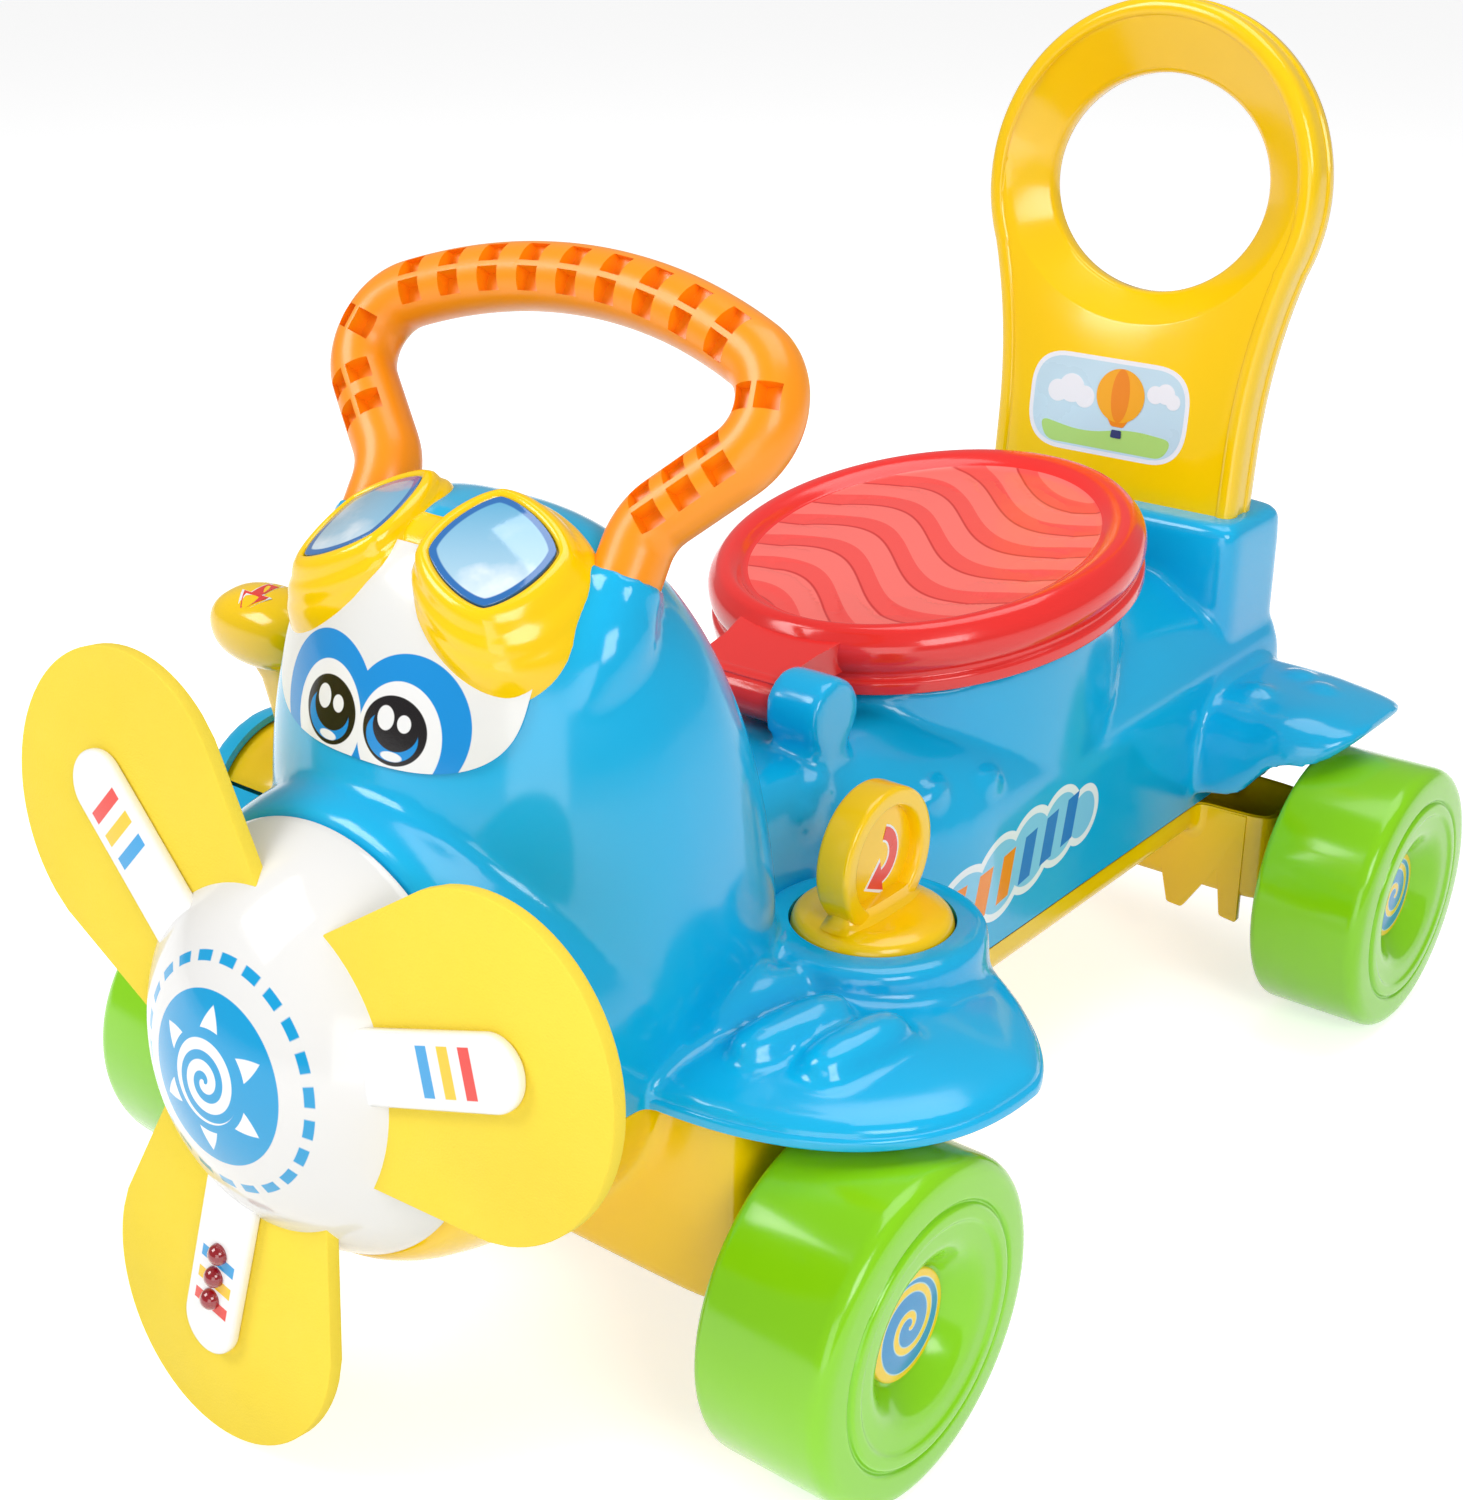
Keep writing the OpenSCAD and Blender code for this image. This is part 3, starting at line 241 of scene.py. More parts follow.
def calc(tree, operation, a, b=0.0, c=0.0):
    step = tree.nodes.new("ShaderNodeMath")
    step.operation = operation
    for socket, value in zip(step.inputs, (a, b, c)):
        if isinstance(value, (int, float)):
            socket.default_value = value
        else:
            tree.links.new(value, socket)
    return step.outputs[0]


def dial(node, values):  # sets inputs of a node by their names
    for key, value in values.items():
        node.inputs[key].default_value = value


def away(tree, value, middle):  # distance of a value from a middle
    return calc(tree, "ABSOLUTE", calc(tree, "SUBTRACT", value, middle))


def objectAxes(tree):
    coords = tree.nodes.new("ShaderNodeTexCoord")
    split = tree.nodes.new("ShaderNodeSeparateXYZ")
    tree.links.new(coords.outputs["Object"], split.inputs["Vector"])
    return split.outputs


def noiseOf(tree, scale, detail=3.0):
    coords = tree.nodes.new("ShaderNodeTexCoord")
    cloud = tree.nodes.new("ShaderNodeTexNoise")
    dial(cloud, {"Scale": scale, "Detail": detail})
    tree.links.new(coords.outputs["Object"], cloud.inputs["Vector"])
    return cloud.outputs["Fac"]


def twoTones(tree, factor, dark, light):
    ramp = tree.nodes.new("ShaderNodeValToRGB")
    ramp.color_ramp.elements[0].position = 0.3
    ramp.color_ramp.elements[1].position = 0.7
    ramp.color_ramp.elements[0].color = dark
    ramp.color_ramp.elements[1].color = light
    tree.links.new(factor, ramp.inputs["Fac"])
    return ramp.outputs["Color"]


def toned(colour, share):
    return tuple(min(1, c * share) for c in colour[:3]) + (1,)


def finish(name, colour, rough=0.16, spread=0.05, bumpScale=420, bump=0.02, coat=0.12, metal=0.0, drift=0.05):
    made = bpy.data.materials.new(name)
    made.use_nodes = True
    tree = made.node_tree
    shader = tree.nodes["Principled BSDF"]
    shade = twoTones(tree, noiseOf(tree, 9), toned(colour, 1 - drift), toned(colour, 1 + drift * 0.6))
    tree.links.new(shade, shader.inputs["Base Color"])
    wear = tree.nodes.new("ShaderNodeMapRange")
    least = max(0.02, rough - spread)
    dial(wear, {"From Min": 0.3, "From Max": 0.75, "To Min": least, "To Max": rough + spread})
    tree.links.new(noiseOf(tree, 38, 5), wear.inputs["Value"])
    tree.links.new(wear.outputs["Result"], shader.inputs["Roughness"])
    skinBump = tree.nodes.new("ShaderNodeBump")
    dial(skinBump, {"Strength": bump, "Distance": mm})
    tree.links.new(noiseOf(tree, bumpScale, 2), skinBump.inputs["Height"])
    tree.links.new(skinBump.outputs["Normal"], shader.inputs["Normal"])
    dial(shader, {"Coat Weight": coat, "Coat Roughness": 0.06, "Metallic": metal})
    return made


def patternPlane(made):  # x and y of the laid pattern in mm
    tree = made.node_tree
    coords = tree.nodes.new("ShaderNodeUVMap")
    coords.uv_map = "pattern"
    split = tree.nodes.new("ShaderNodeSeparateXYZ")
    tree.links.new(coords.outputs["UV"], split.inputs["Vector"])
    x = calc(tree, "MULTIPLY_ADD", split.outputs["X"], 100.0, -50.0)
    y = calc(tree, "MULTIPLY_ADD", split.outputs["Y"], 100.0, -50.0)
    return tree, x, y


def printOver(tree, mask, colour):  # prints a colour over what the shader has so far
    shader = tree.nodes["Principled BSDF"]
    under = shader.inputs["Base Color"].links[0].from_socket
    mix = tree.nodes.new("ShaderNodeMix")
    mix.data_type = "RGBA"
    tree.links.new(mask, mix.inputs["Factor"])
    tree.links.new(under, mix.inputs["A"])
    if isinstance(colour, tuple):
        mix.inputs["B"].default_value = colour
    else:
        tree.links.new(colour, mix.inputs["B"])
    tree.links.new(mix.outputs["Result"], shader.inputs["Base Color"])


def inside(tree, value, limit, edge=0.25):  # 1 where the value is under the limit, with a thin soft edge
    return calc(tree, "MULTIPLY_ADD", calc(tree, "SUBTRACT", limit, value), 1 / edge, 0.5)


def clamped(tree, value):
    step = calc(tree, "MINIMUM", value, 1.0)
    return calc(tree, "MAXIMUM", step, 0.0)


def both(tree, *masks):
    out = clamped(tree, masks[0])
    for mask in masks[1:]:
        out = calc(tree, "MULTIPLY", out, clamped(tree, mask))
    return out


def lengthOf(tree, u, v):
    return calc(tree, "SQRT", calc(tree, "ADD", calc(tree, "MULTIPLY", u, u), calc(tree, "MULTIPLY", v, v)))


def ovalMask(tree, x, y, cx, cy, a, b, edge=0.25):
    u = calc(tree, "DIVIDE", calc(tree, "SUBTRACT", x, cx), a)
    v = calc(tree, "DIVIDE", calc(tree, "SUBTRACT", y, cy), b)
    return clamped(tree, inside(tree, lengthOf(tree, u, v), 1.0, edge / min(a, b)))


def polar(tree, x, y):  # radius, and the turn as a share of a full one
    return lengthOf(tree, x, y), calc(tree, "DIVIDE", calc(tree, "ARCTAN2", y, x), 2 * pi)


def paper(name, colour, drift=0.05):
    return finish(name, colour, rough=0.3, coat=0.15, drift=drift)


toyBlue = ink(10, 178, 230)
toyYellow = ink(255, 208, 0)
inkRed = ink(232, 62, 52)
inkYellow = ink(250, 200, 20)
inkWhite = ink(248, 248, 248)

blueFinish = finish("glossBlue", toyBlue)
yellowFinish = finish("glossYellow", toyYellow)
deepYellow = finish("pressedYellow", ink(255, 206, 0), rough=0.2)
greenFinish = finish("glossGreen", ink(138, 214, 10), rough=0.18)
orangeFinish = finish("satinOrange", ink(255, 150, 4), rough=0.34, bump=0.05, coat=0.08)
whiteFinish = finish("glossWhite", ink(229, 228, 226), drift=0.02)
foamFinish = finish("blockFoam", ink(246, 218, 62), rough=0.75, spread=0.1, bumpScale=1500, bump=0.25,
                    coat=0.0, drift=0.07)
steelFinish = finish("drawnSteel", ink(190, 192, 196), rough=0.3, metal=1.0, coat=0.0)
blackFinish = finish("darkPlastic", ink(40, 40, 44), rough=0.4, coat=0.0)
boardFinish = finish("boardGreen", ink(24, 96, 52), rough=0.45, coat=0.1)
cellFinish = finish("cellSleeve", ink(66, 70, 82), rough=0.3, coat=0.2)
paperWhite = paper("labelWhite", ink(240, 243, 248), 0.02)
paperBlue = paper("labelSky", ink(196, 226, 240), 0.12)
paperOrange = paper("labelOrange", ink(250, 172, 24), 0.15)
paperAmber = paper("labelAmber", ink(240, 138, 16), 0.1)
paperRed = paper("labelRed", inkRed)
paperDark = paper("labelNavy", ink(36, 58, 110))
paperLeaf = paper("labelLeaf", ink(176, 222, 120))


def finishPiece(piece, material, body, slotName, *nodes, smooth=None):
    if smooth:
        smoothShade(piece, smooth)
    piece.data.materials.clear()
    piece.data.materials.append(material)
    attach(piece, body)
    if nodes:
        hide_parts(*nodes)
    return piece


# places that several pieces share
rimZ, trayZ = 121, 86  # lower edges of the hood and of the fuselage
frontY, rearY, axleZ = -149, 225, 58
hingeY, hingeZ = -30, 194
seatY, seatZ, seatTilt = 95, 199, 7
keyX, keyY, barLegX = 91, -73, 54
wall = 2.6
axisSpot = spot(0, -264.59, 147, turnX=83.3)  # Z forward along the propeller
seatSpot = spot(0, seatY, seatZ, turnX=seatTilt)
backSpot = spot(0, 249, 205, turnX=-6)
barSpot = spot(0, -149.7, 286, turnX=58)
leverSizes = {"x": -122, "y": -130, "z": 145, "rest": 11, "length": 80, "grip": 46,
              "gripY": 15.4, "gripZ": 14, "drum": 37}

# hood, nose and front wings, one moulding
hoodSizes = {"halfWidth": 84, "halfLength": 71, "top": 298, "roundFrom": 165, "middleY": -151, "nod": 10,
             "taper": 0.25, "plan": 2.05, "rearPlan": 2.8, "rise": 2.6}
frontWing = {"x": 69.5, "y": -99, "a": 102, "b": 80, "h": 12, "sweep": 0.9, "rear": 1.5,
             "front": 2.4, "edge": 5}
tailGuard = {"x": 62, "y": 238, "a": 80, "b": 44, "power": 3.5, "top": 138, "low": 94, "rise": 36,
             "bend": 1.8, "root": 78, "arch": 63, "archFrom": 98, "archOver": 14}


def hoodShare(t):
    return max(0.0, 1 - t ** hoodSizes["rise"]) ** (1 / hoodSizes["rise"])


def hoodFront(x, z, grow=0.0):  # Y of the hood's face
    h = hoodSizes
    t = max(0.0, (z - h["roundFrom"]) / (h["top"] + grow - h["roundFrom"]))
    share = hoodShare(t)
    side = min(1.0, abs(x) / ((h["halfWidth"] + grow) * share))
    depth = (h["halfLength"] + grow) * share * (1 - h["taper"] * t)
    return h["middleY"] - h["nod"] * t - depth * (1 - side ** h["plan"]) ** (1 / h["plan"])


def hoodRing(y, a, b, z):
    rear = ovalRing(0, y, a, b, hoodSizes["rearPlan"], z)
    front = ovalRing(0, y, a, b, hoodSizes["plan"], z)
    return rear[:49] + front[49:]


def hoodForm():
    h = hoodSizes
    a, b, y = h["halfWidth"], h["halfLength"], h["middleY"]
    rings = [hoodRing(y, a, b, z) for z in (rimZ - 8, 140, h["roundFrom"])]
    for i in range(1, 30):
        t = sin(pi / 2 * i / 30)
        share, z = hoodShare(t), h["roundFrom"] + (h["top"] - h["roundFrom"]) * t
        rings.append(hoodRing(y - h["nod"] * t, a * share, b * share * (1 - h["taper"] * t), z))
    return skin("hoodForm", rings)


def wingRing(wing, side, share, grow, z, count=96):  # fuller in front, swept behind
    a, b = wing["a"] * share + grow, wing["b"] * share + grow
    rear = ovalRing(side * wing["x"], wing["y"], a, b * wing["sweep"], wing["rear"], z, count)
    front = ovalRing(side * wing["x"], wing["y"], a, b, wing["front"], z, count)
    return rear[:count // 2 + 1] + front[count // 2 + 1:]


def wingForm(wing, side, low):
    edge = rimZ + wing["edge"]
    rings = [wingRing(wing, side, 1, 0, z) for z in (low, rimZ, edge)]
    for i in range(1, 24):
        u = pi / 2 * i / 24
        rings.append(wingRing(wing, side, cos(u), 0, edge + wing["h"] * sin(u)))
    return skin("wingForm", rings)


def guardRing(side, share, lift):  # outline of a tail guard, rising to its tip and clear of the wheel
    g = tailGuard
    ring = []
    for x, y, z in ovalRing(side * g["x"], g["y"], g["a"] * share, g["b"] * share, g["power"], 0):
        out = max(0, abs(x) - g["root"]) / (g["x"] + g["a"] - g["root"])
        low = g["low"] + g["rise"] * out ** g["bend"]
        arch = axleZ + sqrt(max(0, g["arch"] ** 2 - (y - rearY) ** 2))
        low += max(0, arch - low) * min(1, max(0, (abs(x) - g["archFrom"]) / g["archOver"]))
        ring.append((x, y, low * (1 - lift) + g["top"] * lift))
    return ring


def guardForm(side):
    under = [guardRing(side, share, 0) for share in (0.08, 0.25, 0.4, 0.55, 0.7, 0.85, 0.95)]
    turns = [pi / 2 * i / 24 for i in range(24)]
    return skin("guardForm", under + [guardRing(side, cos(t) ** 0.5, sin(t) ** 0.7) for t in turns])


def noseForm(name="noseForm"):
    outline = soft([(0, -27, 0), (71.7, -27, 4), (77, -37, 5), (80, -52, 6), (81.7, -76, 8), (82, -118, 0),
                    (0, -118, 0)])
    return setDown(turned(name, outline), axisSpot)


def leverDrum():  # housing that the lever swings in
    v = leverSizes
    rings = []
    for x, r in soft([(-28, 8, 0), (-28, v["drum"], 6), (28, v["drum"], 6), (28, 8, 0)], closed=False):
        rings.append([(v["x"] + x, v["y"] + r * cos(t), v["z"] + r * sin(t)) for t in circle(72)])
    return skin("leverDrum", rings)


def barStub(side):  # short collar where a leg of the handlebar enters the hood
    outline = soft([(0, -62, 0), (9, -62, 0), (14, -48, 5), (16.4, -32, 6), (15.4, -21, 4), (12.6, -14, 5),
                    (12.6, -6, 1.5), (0, -6, 0)])
    return setDown(turned("barStub", outline, 64), barSpot @ spot(side * barLegX, 0, 0, turnX=-90))


def bean(name, place, wide, half, tall):  # a long rounded rib
    rows = []
    for k in range(25):
        t = -cos(pi * (k + 0.5) / 25)
        share = (1 - abs(t) ** 2.8) ** (1 / 2.8)
        rows.append([(wide * share * cos(u), half * t, tall * share * sin(u)) for u in circle(32)])
    return setDown(skin(name, rows), place)


def wingTop(wing, x, y):
    u, v = abs(abs(x) - wing["x"]) / wing["a"], abs(y - wing["y"]) / wing["b"]
    power = wing["front"]
    share = sqrt(max(0, 1 - (u ** power + v ** power) ** (2 / power)))
    return rimZ + wing["edge"] + wing["h"] * share


# place, turn and half length of each rib on the left wing
ribSpots = [(82, -134, -15, 23), (104.5, -136.5, -16, 21), (126, -131.5, -12, 19)]


def makeFrontShell():
    forms = [hoodForm(), noseForm(), wingForm(frontWing, 1, rimZ - 6), wingForm(frontWing, -1, rimZ - 6)]
    collar = turned("keyCollar", soft([(0, 4, 0), (40.5, 4, 0), (39, 26, 4.5), (0, 26, 0)]))
    forms += [setDown(collar, spot(keyX, keyY, rimZ)), leverDrum(), barStub(1), barStub(-1)]
    for x, y, turn, half in ribSpots:
        slope = degrees(atan((wingTop(frontWing, x, y + 10) - wingTop(frontWing, x, y - 10)) / 20))
        place = spot(x, y, wingTop(frontWing, x, y) + 1.8, turnX=slope, turnZ=turn)
        forms.append(bean("wingRib", place, 9, half + 1.5, 7))
    shell = joinAll("hoodShell", forms)
    melt(shell, 2.2, 6)
    keyPlace = turned("keyPlace", [(0, 8), (28.5, 8), (28.5, 60), (0, 60)])
    carve(shell, setDown(keyPlace, spot(keyX, keyY, rimZ)))
    cutAt(shell, rimZ, clear_inner=True)
    giveWall(shell, wall)
    v, reach, root, widest = leverSizes, 42, 12, 58
    turns = [radians(t) for t in range(-widest, widest + 1, 4)]
    slot = [(reach * sin(t), reach * cos(t)) for t in turns]
    foot = root * sin(radians(widest))
    wedge = plate("leverSlot", slot + [(foot, 6), (-foot, 6)], 34)
    carve(shell, setDown(wedge, spot(v["x"] - 17, v["y"], v["z"], turnX=90, turnZ=90)))
    finishPiece(shell, blueFinish, "frame", "blue", "front_shell", smooth=40)
    print("front shell", len(shell.data.polygons))


makeFrontShell()

# raised lip along the lower edge of each front wing, as growth and height
lipProfile = soft([(-2.5, 0.2, 0), (0.9, 0.2, 0.8), (0.9, 3.6, 1.2), (-2.5, 5.5, 0)], steps=4)
for sideName, side in (("Left", 1), ("Right", -1)):
    lipRings = [wingRing(frontWing, side, 1, grow, rimZ + up, 160) for grow, up in lipProfile]
    lip = skin("frontLip" + sideName, lipRings, loop=True)
    finishPiece(lip, blueFinish, "frame", "blue", smooth=50)

# fuselage with pedestal, hinge bosses, backrest socket and tail guards
fuselage = {"neck": 58, "wide": 76, "deck": 180, "start": -120, "neckEnd": -60, "wideFrom": 30}
# inset from the lower edge and height above the tray
neckSteps = [(0, -5), (0, 0), (4, 55), (8, 68), (11, 78), (13, 86), (20, 94)]
wideSteps = [(0, -5), (0, 0), (1.5, 55), (7, 68), (16, 78), (29, 86), (40, 94)]
bumpSpots = [(-41.5, 170.0), (7.1, 155.7), (35.6, 152.5), (-50.4, 163.1)]  # Y and Z on the flank
tailBumps = [(90, 222, 136.2), (96.6, 249.6, 135.8), (110, 242, 135)]


def fuselageHalf(y):  # half of the cross-section at a place along the toy, rounded
    f = fuselage
    t = min(1, max(0, (y - f["neckEnd"]) / (f["wideFrom"] - f["neckEnd"])))
    t = t * t * (3 - 2 * t)
    corners = []
    for (inA, zA), (inB, zB) in zip(neckSteps, wideSteps):
        wide = (f["neck"] - inA) * (1 - t) + (f["wide"] - inB) * t
        corners.append((wide, trayZ + zA * (1 - t) + zB * t, 9))
    return soft(corners + [(0, f["deck"], 0)], closed=False)


def flankAt(y, z):  # X of the flank
    half = fuselageHalf(y)
    for (x0, z0), (x1, z1) in zip(half, half[1:]):
        if z0 <= z <= z1 and z1 > z0:
            return x0 + (x1 - x0) * (z - z0) / (z1 - z0)
    return half[0][0]


flankLabel = {"y": 48, "z": 113, "lean": 0.14, "from": 58,
              "puffs": [(-50, -2, 14), (-33, 2, 16), (-12, 3, 18), (10, 3, 18), (32, 2, 17), (50, -2, 13)]}


def flankPrint():  # plain cloud with slanted bars, printed on both flanks
    made = finish("printedBlue", toyBlue)
    tree = made.node_tree
    axes = objectAxes(tree)
    x = calc(tree, "MULTIPLY_ADD", axes["Y"], perMetre, -flankLabel["y"])
    z = calc(tree, "MULTIPLY_ADD", axes["Z"], perMetre, -flankLabel["z"])
    y = calc(tree, "MULTIPLY_ADD", x, -flankLabel["lean"], z)
    out = inside(tree, flankLabel["from"] * mm, calc(tree, "ABSOLUTE", axes["X"]), 0.001)
    for grow, colour in ((0, ink(240, 246, 250)), (-3.2, ink(132, 206, 240))):
        cloud = 0.0
        for cx, cy, r in flankLabel["puffs"]:
            cloud = calc(tree, "MAXIMUM", cloud, ovalMask(tree, x, y, cx, cy, r + grow, (r + grow) * 0.95))
        printOver(tree, both(tree, out, cloud), colour)
    leaning = calc(tree, "MULTIPLY_ADD", y, -0.3, x)
    for k, colour in enumerate((ink(250, 140, 20),) * 3 + (ink(30, 120, 205),) * 3):
        bar = inside(tree, away(tree, leaning, -40 + 16 * k), 4.4)
        tall = inside(tree, away(tree, y, 1), 9.0)
        printOver(tree, both(tree, out, bar, tall), colour)
    return made


def makeRearShell():
    stations = [(y, 1.0) for y in [fuselage["start"]] + list(range(-100, 272, 10))]
    stations += [(275, 0.995), (278, 0.98), (280, 0.95)]
    rings = []
    for y, share in stations:
        half = fuselageHalf(y)
        ring = [(x * share, y, trayZ + (z - trayZ) * share) for x, z in half]
        rings.append(ring + [(-x, y, z) for x, y, z in reversed(ring[:-1])])
    body = skin("tailShell", rings)
    low = ovalRing(0, seatY, 74, 90, 2, trayZ - 5)
    slope = tan(radians(seatTilt))
    top = [(x, y, seatZ + (y - seatY) * slope - wall) for x, y, z in low]
    forms = [body, skin("pedestal", [low, top])]
    rows = [(0, trayZ - 5), (0, 190), (-0.4, 200), (-1.6, 203), (-4.5, 205)]
    bossX = 32.9
    forms.append(skin("socket", [ovalRing(0, 252, 70 + g, 28 + g, 9, z) for g, z in rows]))
    for side in (1, -1):
        forms.append(guardForm(side))
        boss = turned("hingeBoss", soft([(0, -11.5, 0), (14, -11.5, 1.5), (14, 11.5, 2.5), (0, 11.5, 0)]), 64)
        forms.append(setDown(boss, spot(side * bossX, hingeY, hingeZ, turnY=side * 90)))
        foot = [ovalRing(side * bossX, hingeY, 11.3, 11.5, 4, z, 48) for z in (160, 192)]
        forms.append(skin("bossFoot", foot))
        for y, z in bumpSpots:
            place = spot(side * (flankAt(y, z) - 0.3), y, z, turnY=side * 75)
            forms.append(pebble("flankBump", place, (6.4, 7.4, 2.8)))
        for x, y, z in tailBumps:
            forms.append(pebble("tailBump", spot(side * x, y, z), (8.5, 7, 4)))
    shell = joinAll("tailShell", forms)
    melt(shell, 2.2, 5)
    cutAt(shell, trayZ, clear_inner=True)
    giveWall(shell, wall)
    carve(shell, skin("tubPlace", [ovalRing(0, seatY, 69.5, 85.5, 2, z) for z in (150, 260)]))
    finishPiece(shell, flankPrint(), "frame", "blue", "rear_shell", smooth=40)
    print("rear shell", len(shell.data.polygons))


makeRearShell()

# yellow underside
bellySizes = {"housing": 110, "backY": -119.5, "top": trayZ - 0.4}  # backY: rear of the front housing


def blockForm(name, x0, x1, y0, y1, z0, z1, power=10):
    cx, cy = (x0 + x1) / 2, (y0 + y1) / 2
    a, b = (x1 - x0) / 2, (y1 - y0) / 2
    edges = soft([(-6, z0, 0), (0, z0, 6), (0, z1, 3), (-3, z1, 0)], closed=False)
    return skin(name, [ovalRing(cx, cy, a + g, b + g, power, z) for g, z in edges])


def trayForm():
    rings = []
    for y in [-122] + list(range(-110, 280, 10)) + [280]:
        wide = fuselageHalf(y)[0][0]
        ring = soft([(-wide, 73, 5), (wide, 73, 5), (wide, 97, 0), (-wide, 97, 0)])
        rings.append([(x, y, z) for x, z in ring])
    return skin("tray", rings)


def makeBelly():
    b = bellySizes
    wide = b["housing"]
    forms = [noseForm("bellyPan"), trayForm(),
             blockForm("frontHousing", -wide, wide, frontY - 22, frontY + 28, 49, 140),
             blockForm("rearHousing", -wide, wide, rearY - 22, rearY + 22, 45, 97)]
    pan = joinAll("bellyPan", forms)
    melt(pan, 2.0, 6)
    cutAt(pan, rimZ - 0.4, clear_outer=True)
    giveWall(pan, wall)
    startEdit(pan)
    bpy.ops.mesh.bisect(plane_co=(0, 0, b["top"] * mm), plane_no=(0, 0, 1), use_fill=False)
    bpy.ops.mesh.select_all(action="DESELECT")
    bpy.ops.object.mode_set(mode="OBJECT")
    for face in pan.data.polygons:  # drop what stands above the tray behind the front housing
        face.select = face.center.y > b["backY"] * mm and face.center.z > b["top"] * mm
    bpy.ops.object.mode_set(mode="EDIT")
    bpy.ops.mesh.delete(type="FACE")
    endEdit()
    finishPiece(pan, yellowFinish, "frame", "yellow", "belly_pan", smooth=40)
    teeth = soft([(58, 85, 0), (58, 60, 0), (64.5, 33, 1.5), (72, 32.5, 1.5), (87.5, 57, 1), (90.5, 34, 1.5),
                  (99, 33, 1.5), (99, 85, 0)])
    for name, side in (("skirtLeft", 1), ("skirtRight", -1)):
        skirt = plate(name, [(x * side, y) for x, y in teeth], 3.2, 0.6)
        setDown(skirt, spot(0, 206.2, 0, turnX=90))
        finishPiece(skirt, yellowFinish, "frame", "yellow", smooth=40)
    print("belly", len(pan.data.polygons))


makeBelly()

# white face insert with painted eyes
plateSizes = {"halfWidth": 52, "rise": 32, "drop": 28.5, "middleZ": 258, "topPower": 2.3, "lowPower": 3.4}


def makeEyePlate():
    p = plateSizes
    rings = []
    for k in range(1, 25):
        share = k / 24
        top = ovalRing(0, p["middleZ"], p["halfWidth"] * share, p["rise"] * share, p["topPower"], 0, 128)
        low = ovalRing(0, p["middleZ"], p["halfWidth"] * share, p["drop"] * share, p["lowPower"], 0, 128)
        rings.append([(x, hoodFront(x, min(z, 293), 1.3) - 0.1, z) for x, z, y in top[:65] + low[65:]])
    eyePlate = skin("eyePlate", rings)
    giveWall(eyePlate, 1.6)
    layUv(eyePlate, spot(0, 0, p["middleZ"], turnX=90))
    smoothShade(eyePlate, 45)
    face = finish("paintedFace", ink(230, 230, 228), drift=0.015)
    tree, x, y = patternPlane(face)
    white, black, iris = ink(238, 238, 238), ink(20, 16, 18), ink(12, 140, 214)
    for cx in (-17, 17):
        printOver(tree, ovalMask(tree, x, y, cx, -16, 22, 21), iris)
    for cx in (-15, 15):
        printOver(tree, ovalMask(tree, x, y, cx, -19.5, 15.5, 16.5), white)
    pupil = [(0, -17.5, 12, 10.2, black), (-0.6, -19.3, 9.8, 7.2, iris), (0.5, -16.4, 8.6, 7.0, black),
             (0.2, -25.0, 4.0, 1.4, white), (-3.4, -14.2, 3.2, 3.6, white), (3.6, -14.8, 2.5, 2.6, white)]
    for cx in (-14, 13.5):
        for dx, cy, a, b, colour in pupil:
            printOver(tree, ovalMask(tree, x, y, cx + dx, cy, a, b), colour)
    finishPiece(eyePlate, face, "frame", "white", "eye_plate")
    print("eye plate")


makeEyePlate()

# goggles pushed up on the hood
goggle = {"lensW": 18.7, "lensH": 21.3, "x": 27.7, "y": -182, "z": 292, "turn": 30, "splay": 35}
lensPower = 1.42
cupSteps = [(12, 34), (12, 24), (11.9, 19), (11.5, 15.6), (10.9, 13.2), (10.2, 11.8), (9.7, 10.9), (9.4, 10),
            (9, 8.7), (8.4, 7.4), (7.5, 6.3), (6.7, 5.5), (6.2, 4.7), (5.6, 3.4), (4.8, 1.8), (3.5, 0.6),
            (2.2, 0), (1.2, 0.2), (0.5, 0.9), (0.2, 1.6), (0.1, 2.4)]  # growth past the lens and depth


def cupSpot(side):
    g = goggle
    return spot(side * g["x"], g["y"], g["z"], turnX=g["turn"], turnZ=side * g["splay"])


